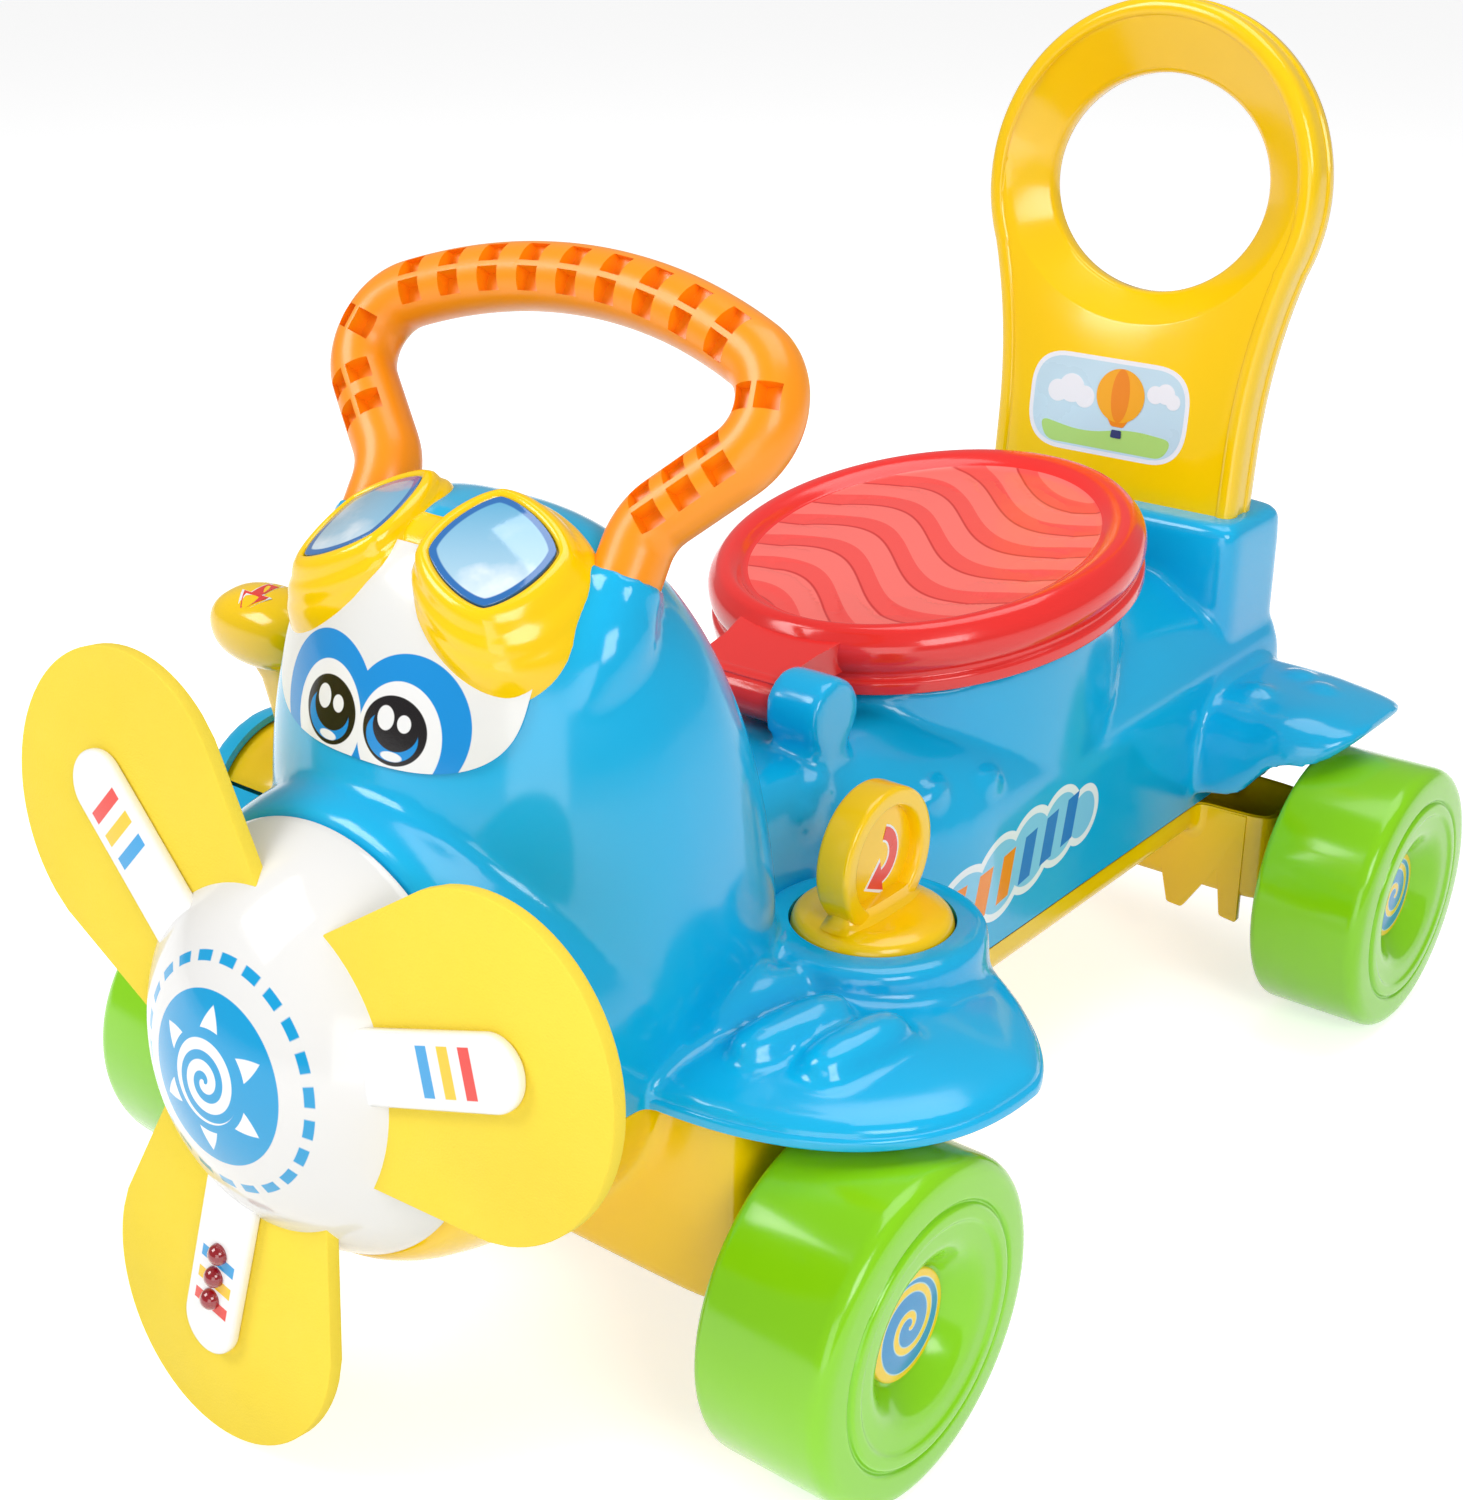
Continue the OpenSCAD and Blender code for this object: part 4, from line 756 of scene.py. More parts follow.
def makeGoggles():
    parts = []
    for side in (1, -1):
        rings = []
        for grow, deep in cupSteps:
            a, b = goggle["lensW"] + grow, goggle["lensH"] + grow
            rings.append(ovalRing(side * 0.35 * deep, -0.28 * deep, a, b, lensPower + 0.03 * grow, -deep))
        cup = skin("cup", rings)
        parts.append(setDown(cup, cupSpot(side)))
    rows = soft([(-14, 5.5, 0), (-5, 5.6, 6), (5, 5.6, 6), (14, 5.5, 0)], closed=False)
    bridge = skin("bridge", [[(x, 9 * cos(t), r * sin(t)) for t in circle(40)] for x, r in rows])
    parts.append(setDown(bridge, spot(0, -180, 289, turnX=30)))
    frames = joinAll("goggleFrame", parts)
    finishPiece(frames, yellowFinish, "frame", "yellow", "goggles", smooth=50)
    sky = finish("printedSky", ink(186, 216, 232), rough=0.08, coat=0.8, drift=0.02)
    tree, x, y = patternPlane(sky)
    height = calc(tree, "MULTIPLY_ADD", y, 0.024, 0.5)
    printOver(tree, clamped(tree, height), ink(92, 172, 212))
    puff = calc(tree, "MULTIPLY_ADD", noiseOf(tree, 42, 4), 5.0, -2.3)
    low = calc(tree, "MULTIPLY_ADD", y, -0.05, 0.55)
    printOver(tree, both(tree, puff, low), ink(240, 247, 252))
    u = calc(tree, "POWER", calc(tree, "ABSOLUTE", calc(tree, "DIVIDE", x, goggle["lensW"])), lensPower)
    v = calc(tree, "POWER", calc(tree, "ABSOLUTE", calc(tree, "DIVIDE", y, goggle["lensH"])), lensPower)
    border = calc(tree, "MULTIPLY_ADD", calc(tree, "SUBTRACT", calc(tree, "ADD", u, v), 0.83), 30.0, 0.5)
    printOver(tree, clamped(tree, border), ink(38, 108, 178))
    for name, side in (("lensLeft", 1), ("lensRight", -1)):
        outline = ovalRing(0, 0, goggle["lensW"] + 0.1, goggle["lensH"] + 0.1, lensPower, 0, 120)
        lens = plate(name, [point[:2] for point in outline], 1.6, 0.3)
        setDown(lens, cupSpot(side) @ spot(0, 0, -2.0))
        layUv(lens, cupSpot(side))
        finishPiece(lens, sky, "frame", "lens", *(("goggle_lenses",) if side == 1 else ()), smooth=40)
    print("goggles")


makeGoggles()

# orange handlebar with its window pockets
barSizes = {"r": 11, "legX": barLegX, "bend": 20, "run": 26, "elbow": 20, "elbowTurn": 113, "elbowPocket": 12,
            "foot": 2, "sink": 44}


def barStations():
    b = barSizes
    half45 = sqrt(0.5)
    runX, runS = b["legX"] + b["bend"] * (1 - half45), b["foot"] + b["bend"] * half45
    cx = runX + b["run"] * half45 - b["elbow"] * half45
    cs = runS + b["run"] * half45 + b["elbow"] * half45
    start = radians(b["elbowTurn"] - 45)
    topR = (cx + b["elbow"] * cos(start)) / cos(start)
    topS = cs + b["elbow"] * sin(start) - topR * sin(start)
    half = [(b["legX"], -b["sink"], 90), (b["legX"], -10, 90)]
    for i in range(13):
        t = radians(180 - 45 * i / 12)
        x, along = b["legX"] + b["bend"] + b["bend"] * cos(t), b["foot"] + b["bend"] * sin(t)
        half.append((x, along, degrees(t) - 90))
    for i in range(31):
        t = radians(-45 + b["elbowTurn"] * i / 30)
        half.append((cx + b["elbow"] * cos(t), cs + b["elbow"] * sin(t), degrees(t) + 90))
    for i in range(1, 25):
        t = start + (pi / 2 - start) * i / 24
        half.append((topR * cos(t), topS + topR * sin(t), degrees(t) + 90))
    pockets = []
    for i in range(-4, 5):
        t = pi / 2 + i * (pi / 2 - start) / 4.4
        pockets.append((topR * cos(t), topS + topR * sin(t), degrees(t) - 90))
    a = radians(b["elbowPocket"])
    pockets.append((cx + b["elbow"] * cos(a), cs + b["elbow"] * sin(a), b["elbowPocket"] + 90))
    for i in range(3):
        u = i * b["run"] / 2 - 2
        pockets.append((runX + u * half45, runS + u * half45, 45))
    return half, pockets


def makeHandlebar():
    r = barSizes["r"]
    half, pockets = barStations()
    path = half + [(-x, s, -turn) for x, s, turn in reversed(half[:-1])]
    rings = []
    for x, s, turn in path:
        a = radians(turn)
        rings.append([(x - r * cos(u) * sin(a), s + r * cos(u) * cos(a), -r * sin(u))
                      for u in circle(40)])
    bar = skin("gripBar", rings)
    cutters = []
    for x, s, turn in pockets:
        for mirrored in ((1, -1) if abs(x) > 60 else (1,)):
            for lift in (-1, 1):
                unselect()
                bpy.ops.mesh.primitive_cube_add(size=mm)
                cutter = bpy.context.object
                startEdit(cutter)
                bpy.ops.transform.resize(value=(8.2, 7.0, 12))
                bpy.ops.transform.translate(value=(0, lift * 4.4 * mm, 10.8 * mm))
                endEdit()
                cutters.append(setDown(cutter, spot(mirrored * x, s, 0, turnZ=mirrored * turn)))
    carve(bar, joinAll("pockets", cutters))
    setDown(bar, barSpot)
    finishPiece(bar, orangeFinish, "frame", "orange", "handlebar", smooth=35)
    print("handlebar", len(bar.data.polygons))


makeHandlebar()

# red seat with the wavy dish and its hinge tongue
seatSizes = {"a": 82, "b": 98, "rim": 16.5, "dishY": -4, "waveStep": 24.0, "waveHeight": 13.0,
             "waveLength": 110.0, "waveLean": 0.25, "waveShift": 400.0, "pale": 0.58}


def seatWave(x, y):  # place within a band, 0 to 1
    s = seatSizes
    wave = s["waveHeight"] * sin(2 * pi * x / s["waveLength"])
    return ((y + s["waveLean"] * x + wave + s["waveShift"]) / s["waveStep"]) % 1.0


def makeSeat():
    s = seatSizes
    under = [(-60, 21.5), (-30, 21), (-19, 20), (-9, 17), (-4, 8), (-3.5, 1), (-2, 0)]
    over = soft([(-2, 0, 0), (0.2, 0, 1), (0.4, 5, 1.5), (-1.6, 6.2, 1), (-1.4, 8, 1.5), (1, 12.5, 4),
                 (0.8, 19, 6), (-4.2, 25.4, 7), (-9, 26, 4), (-13, 24, 3), (-15.3, 22, 2), (-16.5, 21.6, 0)],
                closed=False)
    dishA, dishB = s["a"] - s["rim"], s["b"] - s["rim"]
    rings = [ovalRing(0, 0, s["a"] + g, s["b"] + g, 2, z, 200) for g, z in under]
    for g, z in over[1:]:
        rings.append(ovalRing(0, s["dishY"] * max(0, -g - 6) / 10.5, s["a"] + g, s["b"] + g, 2, z, 200))
    for k in range(1, 46):
        share = 1 - k / 46
        floor, fade = 21.6 - 1.6 * (1 - share ** 2), min(1, 6 * (1 - share))
        ring = ovalRing(0, s["dishY"], dishA * share, dishB * share, 2, 0, 200)
        rings.append([(x, y, floor + (0.5 if seatWave(x, y) < s["pale"] else -0.5) * fade)
                      for x, y, z in ring])
    seat = skin("seatTop", rings)
    setDown(seat, seatSpot)
    barrel = turned("barrel", soft([(3.2, -21, 0), (9, -21, 1.2), (9, 21, 1.2), (3.2, 21, 0)]), 64)
    setDown(barrel, spot(0, hingeY, hingeZ, turnY=90))
    rings = []
    for y, wide, low, high in ((-4, 20.4, -1, 8.6), (6, 20.4, -2, 9.2), (20, 21, -2, 10), (34, 24, -1, 11)):
        outline = soft([(-1, low, 0), (1, low, 0), (1, high, 0.12), (-1, high, 0.12)], 4)
        rings.append([(x * wide, y, z) for x, z in outline])
    tongue = setDown(skin("tongue", rings), spot(0, hingeY, hingeZ, turnX=seatTilt))
    seat = joinAll("seatTop", [seat, barrel, tongue])
    smoothShade(seat, 38)
    lid = finish("seatRed", ink(238, 46, 42), rough=0.15)
    tree = lid.node_tree
    axes = objectAxes(tree)
    tilt = radians(seatTilt)
    x = calc(tree, "MULTIPLY", axes["X"], perMetre)
    y = calc(tree, "MULTIPLY_ADD", axes["Y"], perMetre / cos(tilt), -seatY / cos(tilt))
    wave = calc(tree, "SINE", calc(tree, "MULTIPLY", x, 2 * pi / s["waveLength"]))
    lean = calc(tree, "MULTIPLY_ADD", x, s["waveLean"], y)
    along = calc(tree, "ADD", calc(tree, "MULTIPLY_ADD", wave, s["waveHeight"], s["waveShift"]), lean)
    band = calc(tree, "FRACT", calc(tree, "DIVIDE", along, s["waveStep"]))
    dish = ovalMask(tree, x, y, 0.0, s["dishY"], dishA, dishB)
    rise = calc(tree, "MULTIPLY_ADD", axes["Y"], -tan(tilt), axes["Z"])
    high = calc(tree, "GREATER_THAN", rise, 0.1993)  # the upper side alone
    inDish = both(tree, dish, high)
    printOver(tree, inDish, ink(242, 78, 72))
    pale = both(tree, inDish, inside(tree, band, s["pale"], 0.02))
    printOver(tree, pale, ink(248, 112, 104))
    line = both(tree, inDish, inside(tree, away(tree, band, s["pale"]), 0.025, 0.03))
    printOver(tree, line, ink(206, 40, 38))
    shader = tree.nodes["Principled BSDF"]
    before = shader.inputs["Roughness"].links[0].from_socket
    tree.links.new(calc(tree, "MULTIPLY_ADD", inDish, 0.28, before), shader.inputs["Roughness"])
    finishPiece(seat, lid, "seat", "red", "seat_lid")
    print("seat", len(seat.data.polygons))


makeSeat()

# yellow backrest with the oval grip hole
backSizes = {"r": 79, "ringZ": 134.74, "foot": 62, "flareZ": 25, "leave": 30, "low": -24, "t": 22,
             "holeA": 52.5, "holeB": 46.5, "holeUp": 1.6, "cone": 18.5, "coneUp": 4.3}


def makeBackrest():
    b = backSizes
    leaveW = sqrt(b["r"] ** 2 - b["leave"] ** 2)
    leaveZ = b["ringZ"] - b["leave"]

    def sideAt(z):  # half width under the ring, drawn in towards the foot
        t = max(0, (z - b["flareZ"]) / (leaveZ - b["flareZ"]))
        slope = 0.3 * (leaveZ - b["flareZ"])
        return b["foot"] * (1 + 2 * t) * (1 - t) ** 2 + leaveW * t * t * (3 - 2 * t) - slope * t * t * (1 - t)

    def edgeAt(turn, grow):  # distance from the hole's middle to the outline
        c, s = cos(turn), sin(turn)
        near, far = b["r"] + grow, 400.0
        if b["ringZ"] + near * s > leaveZ:
            return near
        for step in range(40):
            reach = (near + far) / 2
            z = b["ringZ"] + reach * s
            if z > b["low"] - grow and abs(reach * c) < sideAt(z) + grow:
                near = reach
            else:
                far = reach
        return near

    t = b["t"] / 2
    stations = [("in", 0, t - 2.5), ("in", 0, 3), ("in", 0.6, 1.8), ("in", 2, 0.4), ("in", 16, -t + 3.2),
                ("in", 17.4, -t + 2), ("in", 18.5, -t + 1.5), ("out", -7.9, -t + 1.3),
                ("out", -7.3, -t + 0.5), ("out", -6.2, -t), ("out", -3.8, -t), ("out", -1.6, -t + 0.9),
                ("out", -0.4, -t + 2.6),
                ("out", 0, -t + 5), ("out", 0, -t + 7), ("out", -0.8, -t + 7.6), ("out", -0.8, t - 7.6),
                ("out", 0, t - 7), ("out", 0, t - 5), ("out", -0.3, t - 2.6), ("out", -1.4, t - 0.9),
                ("out", -3.5, t), ("out", -8, t), ("in", 8, t), ("in", 3, t - 0.3), ("in", 0.8, t - 1.2)]
    rings = []
    for kind, grow, depth in stations:
        ring = []
        for turn in circle(240):
            if kind == "in":  # the oval hole and the cone around it
                up = b["holeUp"] + b["coneUp"] * grow / b["cone"]
                across, high = (b["holeA"] + grow) * cos(turn), up + (b["holeB"] + grow) * sin(turn)
            else:
                across, high = edgeAt(turn, grow) * cos(turn), edgeAt(turn, grow) * sin(turn)
            ring.append((across, depth, b["ringZ"] + high))
        rings.append(ring)
    back = skin("backPlate", rings, loop=True)
    setDown(back, backSpot)
    finishPiece(back, yellowFinish, "frame", "yellow", "backrest", smooth=40)
    print("backrest", len(back.data.polygons))


makeBackrest()

# propeller: spinner dome, arms, foam blades and lamps
spinnerSizes = {"r": 78, "sink": 60, "rim": 25, "armReach": 112, "armW": 23, "armT": 4, "phase": 18}
spinnerPrint = {"disc": 27.2, "swirl": 13.6, "lane": 6.4, "rays": 6.0, "rayTip": 23.4, "rayFoot": 16.4,
                "raySlope": 0.032, "dashes": 22.0, "dashRing": 36}


def armSpot(k):
    return axisSpot @ spot(0, 0, 0, turnZ=spinnerSizes["phase"] + 120 * k)


def roundEnd(reach, r, step):  # half circle that ends at the reach
    turns = [radians(a) for a in range(-90, 91, step)]
    return [(reach - r + r * cos(a), r * sin(a)) for a in turns]


def makeSpinner():
    p, mark = spinnerSizes, spinnerPrint
    rimR = sqrt(p["r"] ** 2 - (p["sink"] - p["rim"]) ** 2)
    fromTurn = asin((p["sink"] - p["rim"]) / p["r"])
    turns = [fromTurn + (pi / 2 - fromTurn) * k / 40 for k in range(41)]
    outer = [(p["r"] * cos(t), p["r"] * sin(t) - p["sink"]) for t in turns]
    inner = [(max(0.0, r - 3 * r / p["r"]), h - 3) for r, h in reversed(outer)]
    rim = [(rimR - 3, -p["rim"] - 1), (rimR - 0.8, -p["rim"] - 1), (rimR, -p["rim"] - 0.4)]
    outer[-1] = (0.0, p["r"] - p["sink"])
    dome = turned("spinnerDome", rim + outer + inner[:-2], 128)
    hub = turned("hub", soft([(4.1, -26.5, 0), (9, -26.5, 1), (9, 14, 0), (4.1, 14, 0)]), 48)
    dome = joinAll("spinnerDome", [dome, hub])
    setDown(dome, axisSpot)
    layUv(dome, axisSpot)
    smoothShade(dome, 45)
    paint = finish("printedWhite", ink(229, 228, 226), drift=0.02, rough=0.13)
    tree, x, y = patternPlane(paint)
    radius, turn = polar(tree, x, y)
    discBlue = ink(10, 156, 212)
    printOver(tree, clamped(tree, inside(tree, radius, mark["disc"])), discBlue)
    swirl = calc(tree, "FRACT", calc(tree, "SUBTRACT", calc(tree, "DIVIDE", radius, mark["lane"]), turn))
    lane = inside(tree, away(tree, swirl, 0.5), 0.27, 0.05)
    printOver(tree, both(tree, lane, inside(tree, radius, mark["swirl"])), inkWhite)
    ray = away(tree, calc(tree, "FRACT", calc(tree, "MULTIPLY", turn, mark["rays"])), 0.5)
    tipWay = calc(tree, "MULTIPLY_ADD", radius, -mark["raySlope"], mark["raySlope"] * mark["rayTip"])
    outside = inside(tree, calc(tree, "MULTIPLY", radius, -1.0), -mark["rayFoot"])
    beam = both(tree, inside(tree, calc(tree, "SUBTRACT", ray, tipWay), 0.0, 0.02), outside)
    printOver(tree, beam, inkWhite)
    part = calc(tree, "FRACT", calc(tree, "MULTIPLY", turn, mark["dashes"]))
    dash = inside(tree, away(tree, part, 0.5), 0.31, 0.05)
    printOver(tree, both(tree, dash, inside(tree, away(tree, radius, mark["dashRing"]), 1.5)), discBlue)
    finishPiece(dome, paint, "propeller", "white", "spinner")
    half = p["armW"] / 2
    outline = [(48, -half)] + roundEnd(p["armReach"], half, 6) + [(48, half)]
    armStripes = finish("stripedWhite", ink(242, 242, 242), drift=0.02)
    tree, x, y = patternPlane(armStripes)
    wide = inside(tree, calc(tree, "ABSOLUTE", y), 7.6)
    for place, colour in ((2.0, ink(40, 158, 220)), (10.5, inkYellow), (19.0, inkRed)):
        printOver(tree, both(tree, wide, inside(tree, away(tree, x, place), 2.2)), colour)
    first = plate("armModel", outline, p["armT"], 1.4)
    setDown(first, spot(0, 0, -p["armT"]))
    layUv(first, spot(74, 0, 0))
    smoothShade(first, 40)
    for k in range(3):
        arm = copyPiece(first, "armSide%d" % (k + 1), armSpot(k))
        finishPiece(arm, armStripes, "propeller", "white")
    bpy.data.objects.remove(first, do_unlink=True)
    print("spinner")


makeSpinner()

bladeSizes = {"reach": 142, "w": 51, "t": 5, "rootW": 37, "rootIn": 51.0}


def makeBlades():
    b, p = bladeSizes, spinnerSizes
    outline = []
    inR = b["rootIn"]
    edge = asin(min(1, b["rootW"] / inR))
    for k in range(13):
        a = edge - 2 * edge * k / 12
        outline.append((inR * cos(a), inR * sin(a)))
    outline.append((b["reach"] - b["w"] - 8, -b["w"] + 0.7))
    outline += roundEnd(b["reach"], b["w"], 4)
    outline.append((b["reach"] - b["w"] - 8, b["w"] - 0.7))
    first = plate("foamBlade", outline, b["t"], 0.5)
    setDown(first, spot(0, 0, -p["armT"] - b["t"] - 0.1))
    smoothShade(first, 40)
    for k in range(3):
        blade = copyPiece(first, "foamBlade%d" % (k + 1), armSpot(k))
        finishPiece(blade, foamFinish, "propeller", "foam", "blade_%d" % (k + 1))
    bpy.data.objects.remove(first, do_unlink=True)
    ruby = finish("rubyLamp", ink(150, 6, 22), rough=0.05, coat=1.0, drift=0.3)
    lamps = [pebble("lamp", spot(x, 0, 0.2), (3.6, 3.6, 3.6)) for x in (73, 82, 91)]
    lamp = setDown(joinAll("lampDomes", lamps), armSpot(2))
    smoothShade(lamp)
    finishPiece(lamp, ruby, "propeller", "lamp", "lamp_lenses")
    print("blades and lamps")


makeBlades()

# turning key
keySizes = {"r": 28, "base": 129.4, "h": 22, "ring": 25, "ringZ": 170.4}
arrowSizes = {"r": 8, "half": 2.3, "head": 5.6, "tip": 8.5}


def arrowOutline(grow):  # a curved arrow, wider by grow
    s = arrowSizes
    r, half, wide = s["r"], s["half"] + grow, s["head"] + grow * 1.8
    out, back = [], []
    for k in range(13):
        a = radians(70 - 150 * k / 12)
        out.append(((r + half) * cos(a), (r + half) * sin(a)))
        back.append(((r - half) * cos(a), (r - half) * sin(a)))
    end = radians(-80)
    across = Vector((cos(end), sin(end)))
    ahead = Vector((sin(end), -cos(end)))
    head = [across * (r + wide), across * r + ahead * (s["tip"] + grow * 2), across * (r - wide)]
    return out + [(h.x, h.y) for h in head] + back[::-1]


def makeKey():
    k = keySizes
    r, h, reach = k["r"], k["h"], k["ring"]
    upright = spot(keyX, keyY, k["ringZ"], turnY=90)
    drum = soft([(0, 0, 0), (r, 0, 1), (r, h - 6, 2), (r - 1.5, h - 2, 4), (r - 7, h, 5), (0, h, 0)])
    base = setDown(turned("turnKey", drum), spot(keyX, keyY, k["base"]))
    ring = turned("ring", soft([(reach - 6, -6.5, 1), (reach, -6.5, 2), (reach, 6.5, 2), (reach - 6, 6.5, 1),
                                (reach - 7, 4.2, 1), (reach - 7, -4.2, 1)], 4))
    web = turned("web", soft([(0, -2, 0), (reach - 5, -2, 0), (reach - 5, 2, 0), (0, 2, 0)]))
    steps = ((3.4, 0), (1.6, 1.2), (0.6, 3), (0, 6))
    foot = skin("foot", [ovalRing(0, 0, 6.5 + g, 19 + 1.5 * g, 3, z, 64) for g, z in steps])
    setDown(foot, spot(keyX, keyY, k["base"] + h - 0.8))
    spindle = turned("spindle", [(0, -8), (6, -8), (6, 1), (0, 1)], 48)
    setDown(spindle, spot(keyX, keyY, k["base"]))
    key = joinAll("turnKey", [base, setDown(ring, upright), setDown(web, upright), foot, spindle])
    finishPiece(key, deepYellow, "key", "yellow", "key_knob", smooth=40)
    for name, side in (("keyArrowLeft", 1), ("keyArrowRight", -1)):
        place = spot(keyX + side * 2.0, keyY, k["ringZ"], turnX=90, turnZ=90 * side)
        rim = setDown(plate(name + "Rim", arrowOutline(0.8), 0.12), place)
        finishPiece(rim, paperWhite, "key", "white")
        mark = setDown(plate(name, arrowOutline(0), 0.2), place)
        finishPiece(mark, paperRed, "key", "red")
    print("key")


makeKey()

# gear lever, with its sizes among the shared places
def makeLever():
    v = leverSizes
    rows = []
    for k in range(25):
        a = pi * (k + 0.5) / 25
        x, s = -v["grip"] / 2 * cos(a), sin(a) ** 0.55
        along = [v["gripY"] * s * signedPower(cos(u), 0.8) for u in circle(64)]
        up = [v["gripZ"] * s * signedPower(sin(u), 0.9) + v["length"] for u in circle(64)]
        rows.append([(x, y, z) for y, z in zip(along, up)])
    grip = skin("gearLever", rows)
    steps = ((7, 5, 4), (7, 5, 40), (7.4, 5.6, 60), (9.5, 8, 70), (11, 9, 78))
    stalk = skin("stalk", [ovalRing(0, 0, a, b, 4, z, 64) for a, b, z in steps])
    band = soft([(-24.2, 30.4, 0.5), (24.2, 30.4, 0.5), (24.2, 33.4, 0.5), (-24.2, 33.4, 0.5)], 2)
    turns = [radians(-45 + 90 * k / 24) for k in range(25)]
    drum = skin("drum", [[(x, r * sin(a), r * cos(a)) for x, r in band] for a in turns])
    core = turned("core", soft([(3.1, -15, 0), (8, -15, 1), (8, 15, 1), (3.1, 15, 0)]), 48)
    setDown(core, spot(0, 0, 0, turnY=90))
    lever = joinAll("gearLever", [grip, stalk, drum, core])
    place = spot(v["x"], v["y"], v["z"], turnX=v["rest"])
    setDown(lever, place)
    finishPiece(lever, yellowFinish, "lever", "yellow", "lever", smooth=45)
    arrow = [(-2.6, -9), (2.6, -9), (2.6, -1), (6.4, -1), (0, 8), (-6.4, -1), (-2.6, -1)]
    marks = (("leverArrowRim", 1.22, 0.1, paperWhite, "white"), ("leverArrow", 1.0, 0.2, paperRed, "red"))
    for name, grow, lift, material, slotName in marks:
        mark = plate(name, [(x * grow, y * grow) for x, y in arrow], 0.3)
        startEdit(mark)
        bpy.ops.mesh.subdivide(number_cuts=6)
        endEdit()
        setDown(mark, spot(0, -3, v["length"] + 13.7 + lift, turnZ=180))
        for vert in mark.data.vertices:  # lie along the curve of the grip
            y = vert.co.y / mm
            vert.co.z -= v["gripZ"] * (1 - sqrt(max(0, 1 - abs(y / 15.2) ** 2.4))) * mm * 0.92
        setDown(mark, place)
        finishPiece(mark, material, "lever", slotName)
    print("lever")


makeLever()

# four wheels and their caps
wheelSizes = {"x": 146, "half": 25.5, "face": 22.5, "well": 13, "lane": 9, "print": 16.4}


def makeWheels():
    w = wheelSizes
    h, face, well = w["half"], w["face"], w["half"] - w["well"]
    outline = soft([(4.06, -h, 0), (11, -h, 0.5), (11, 0.5, 2), (28, 0.5, 2), (33, 19.5, 3), (44, 19.5, 3),
                    (48, 13.5, 3), (48, -h, 0.8), (50, -h, 1), (58, -h, 9), (58, face + 0.6, 13),
                    (45, face + 1.2, 2), (43.9, face - 0.4, 1.2), (42.8, face + 1.7, 1.6),
                    (38.8, face + 1.8, 1.6), (37.4, face + 0.6, 1.2), (28.8, face + 0.2, 7),
                    (22.5, face - 6.5, 4), (19.8, well, 1.5), (9, well, 0.3), (9, h - 22, 0),
                    (4.06, h - 22, 0)])
    wheel = turned("wheelModel", outline, 128)
    ribs = []
    for k in range(6):
        rib = skin("rib", [ovalRing(29.5, 0, 19, 1.4, 8, z, 32) for z in (-19.5, 1)])
        ribs.append(setDown(rib, spot(0, 0, 0, turnZ=60 * k)))
    wheel = joinAll("wheelModel", [wheel] + ribs)
    smoothShade(wheel, 40)
    outline = soft([(0, 0.6, 0), (8, 0.6, 0), (8, 0.1, 0), (19, 0.1, 0), (19, 2, 1), (0, 2.6, 0)])
    cap = turned("capModel", outline, 96)
    setDown(cap, spot(0, 0, well))
    layUv(cap, spot(0, 0, 0))
    smoothShade(cap, 40)
    swirl = finish("printedCap", ink(255, 208, 10), rough=0.2)
    tree, x, y = patternPlane(swirl)
    radius, turn = polar(tree, x, y)
    lane = calc(tree, "FRACT", calc(tree, "SUBTRACT", calc(tree, "DIVIDE", radius, w["lane"]), turn))
    fromMid = away(tree, lane, 0.5)
    for wide, shrink, colour in ((0.37, 0, ink(196, 228, 230)), (0.33, 0.4, ink(0, 142, 208))):
        reach = inside(tree, radius, w["print"] - shrink)
        printOver(tree, both(tree, inside(tree, fromMid, wide, 0.04), reach), colour)
    for axle, y in (("front", frontY), ("rear", rearY)):
        for sideName, side in (("left", 1), ("right", -1)):
            place = spot(side * w["x"], y, axleZ, turnY=90 * side)
            body = "%s_%s_wheel" % (axle, sideName)
            tyre = copyPiece(wheel, "%s%sTyre" % (axle, sideName.title()), place)
            finishPiece(tyre, greenFinish, body, "green", body)
            button = copyPiece(cap, "%s%sButton" % (axle, sideName.title()), place)
            finishPiece(button, swirl, body, "yellow", "%s_%s_cap" % (axle, sideName))
    bpy.data.objects.remove(wheel, do_unlink=True)
    bpy.data.objects.remove(cap, do_unlink=True)
    print("wheels")


makeWheels()

# label on the backrest: a hot-air balloon over a hill
def cloudOutline(x, y, *puffs):  # outline of round puffs about a place
    ring = []
    for t in circle(120):
        c, s = cos(t), sin(t)
        best = 0.0
        for px, py, r in puffs:
            along = px * c + py * s
            reach = r ** 2 - (px * px + py * py - along * along)
            if reach > 0:
                best = max(best, along + sqrt(reach))
        ring.append((x + best * c, y + best * s))
    return ring


def ovalOutline(x, y, a, b):
    return [(x + a * cos(t), y + b * sin(t)) for t in circle(64)]


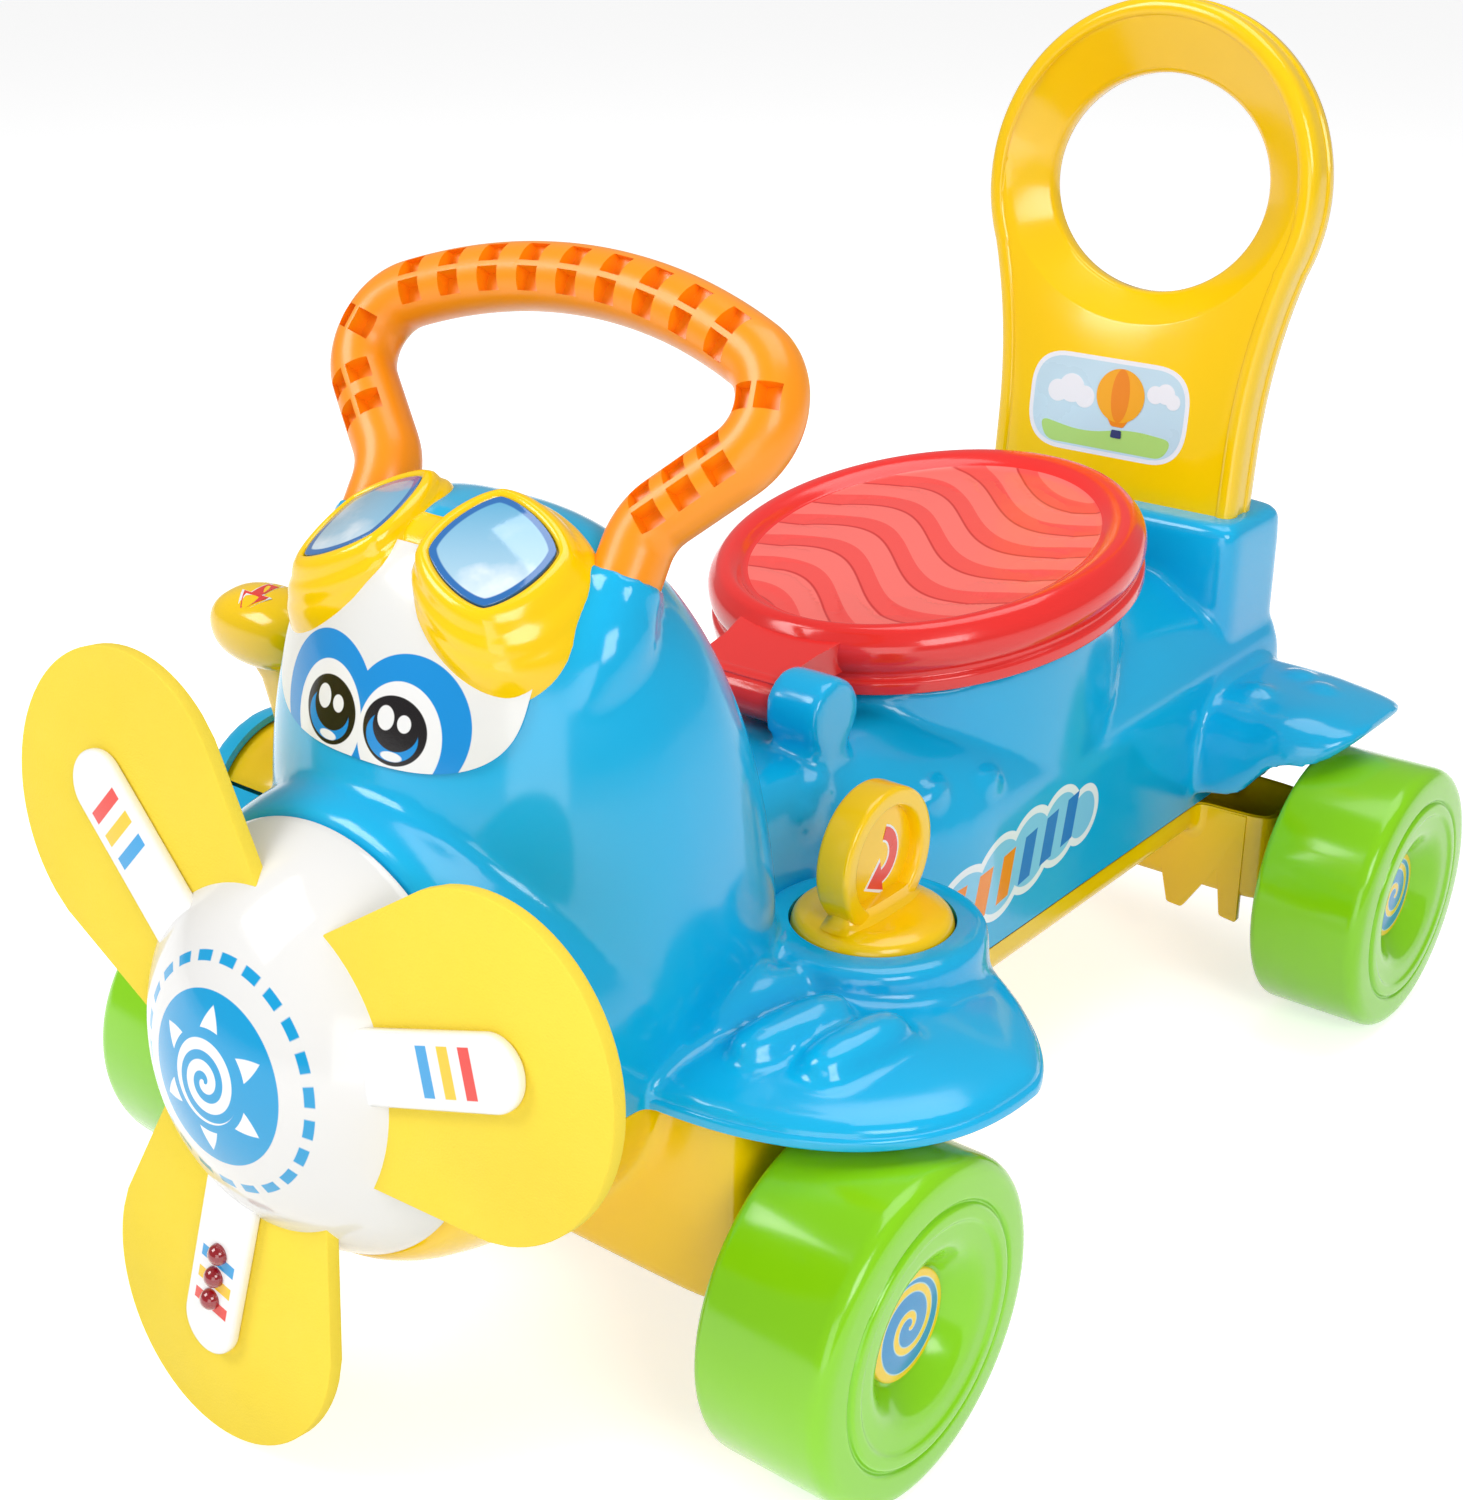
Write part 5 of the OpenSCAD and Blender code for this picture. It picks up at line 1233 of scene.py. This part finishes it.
labelParts = [  # name, paper and outline, from the bottom layer up
    ("labelBorder", "white", soft([(-40, -22, 18), (40, -22, 18), (40, 22, 18), (-40, 22, 18)], 12)),
    ("labelSky", "sky", soft([(-38, -20, 16), (38, -20, 16), (38, 20, 16), (-38, 20, 16)], 12)),
    ("labelHill", "leaf", soft([(-30, -19, 5), (30, -19, 5), (34, -10, 6), (12, -8, 14), (-10, -13, 14),
                                (-34, -9, 6)], 6)),
    ("labelCloudLow", "white", cloudOutline(-19, 4, (-7, 0, 5), (0, 2, 6.5), (7, -1, 5))),
    ("labelCloudHigh", "white", cloudOutline(28, 9, (-5, 0, 4), (0, 1, 4.5), (4, -2, 3.5))),
    ("balloonNeck", "amber", soft([(-3, 1, 2), (15, 1, 2), (9, -8, 1), (3, -8, 1)], 4)),
    ("balloonTop", "orange", ovalOutline(6, 6, 12, 12)),
    ("balloonStripe", "amber", ovalOutline(6, 6, 4.5, 12)),
    ("balloonBasket", "dark", soft([(3.2, -13, 1), (8.8, -13, 1), (8.4, -9.4, 0.6), (3.6, -9.4, 0.6)], 4))]


def makeLabels():
    papers = {"white": paperWhite, "sky": paperBlue, "orange": paperOrange, "amber": paperAmber,
              "dark": paperDark, "leaf": paperLeaf}
    face = backSpot @ spot(-5, -9.5, 38, turnX=90)
    for lift, (name, paper, outline) in enumerate(labelParts):
        label = setDown(plate(name, outline, 0.12), face @ spot(0, 0, 0.05 + 0.06 * lift))
        finishPiece(label, papers[paper], "frame", "orange" if paper == "orange" else "white")
    print("labels")


makeLabels()

# finishes of the plain inner parts
innerFinish = {"storage_tub": blueFinish, "battery_door": deepYellow, "battery_box": blackFinish,
               "battery_cells": cellFinish, "circuit_board": boardFinish, "speaker": blackFinish,
               "propeller_bush": whiteFinish, "axle_spacers": whiteFinish, "blade_pins": whiteFinish}
for nodeName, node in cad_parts.items():
    material = innerFinish.get(nodeName, steelFinish)
    if not node.material_slots:
        node.data.materials.append(material)
    for place in node.material_slots:
        place.material = material

# floor, light and camera
lampRows = (("keyBox", (-1.1, -1.4, 1.7), (0, -0.05, 0.15), 1.0, 23),  # name, place, aim, size and power
            ("sideBox", (1.6, -0.9, 1.2), (0, 0, 0.15), 0.8, 13),
            ("topBox", (0.2, 0.5, 2.2), (0, 0.05, 0.2), 1.4, 17),
            ("lowBox", (1.0, -1.7, 0.4), (0, 0, 0.08), 1.0, 7))


def makeStage():
    unselect()
    bpy.ops.mesh.primitive_plane_add(size=30, location=(0, 0, 0))
    floor = bpy.context.object
    floor.name = "studioFloor"
    pale = bpy.data.materials.new("studioPaper")
    pale.use_nodes = True
    tree = pale.node_tree
    shader = tree.nodes["Principled BSDF"]
    dial(shader, {"Base Color": (0.86, 0.86, 0.86, 1), "Roughness": 0.9})
    glow = tree.nodes.new("ShaderNodeEmission")
    dial(glow, {"Color": (1, 1, 1, 1), "Strength": 0.62})
    add = tree.nodes.new("ShaderNodeAddShader")
    mix = tree.nodes.new("ShaderNodeMixShader")
    path = tree.nodes.new("ShaderNodeLightPath")
    seen = calc(tree, "MAXIMUM", path.outputs["Is Camera Ray"], path.outputs["Is Glossy Ray"])
    seen = calc(tree, "MAXIMUM", seen, path.outputs["Is Transmission Ray"])
    tree.links.new(shader.outputs["BSDF"], add.inputs[0])
    tree.links.new(glow.outputs["Emission"], add.inputs[1])
    tree.links.new(seen, mix.inputs["Fac"])
    tree.links.new(shader.outputs["BSDF"], mix.inputs[1])
    tree.links.new(add.outputs["Shader"], mix.inputs[2])
    tree.links.new(mix.outputs["Shader"], tree.nodes["Material Output"].inputs["Surface"])
    floor.data.materials.append(pale)
    world = bpy.data.worlds.new("studio")
    bpy.context.scene.world = world
    world.use_nodes = True
    back = world.node_tree.nodes["Background"]
    path = world.node_tree.nodes.new("ShaderNodeLightPath")
    strength = calc(world.node_tree, "MULTIPLY_ADD", path.outputs["Is Camera Ray"], 0.65, 0.35)
    dial(back, {"Color": (1, 1, 1, 1)})
    world.node_tree.links.new(strength, back.inputs["Strength"])
    for name, place, aim, size, power in lampRows:
        lamp = bpy.data.lights.new(name, "AREA")
        lamp.energy = power
        lamp.size = size
        holder = bpy.data.objects.new(name, lamp)
        bpy.context.scene.collection.objects.link(holder)
        holder.location = place
        holder.rotation_euler = (Vector(aim) - Vector(place)).to_track_quat("-Z", "Y").to_euler()
    lensData = bpy.data.cameras.new("photoCamera")
    lensData.sensor_fit = "VERTICAL"
    lensData.sensor_height = 36
    lensData.lens = 52.02
    lensData.clip_start = 0.01
    camera = bpy.data.objects.new("photoCamera", lensData)
    bpy.context.scene.collection.objects.link(camera)
    camera.location = (0.4577, -0.6113, 0.4881)
    camera.rotation_euler = Vector((-0.571, 0.719, -0.3955)).to_track_quat("-Z", "Y").to_euler()
    bpy.context.scene.camera = camera
    bpy.context.scene.view_settings.view_transform = "Standard"


makeStage()
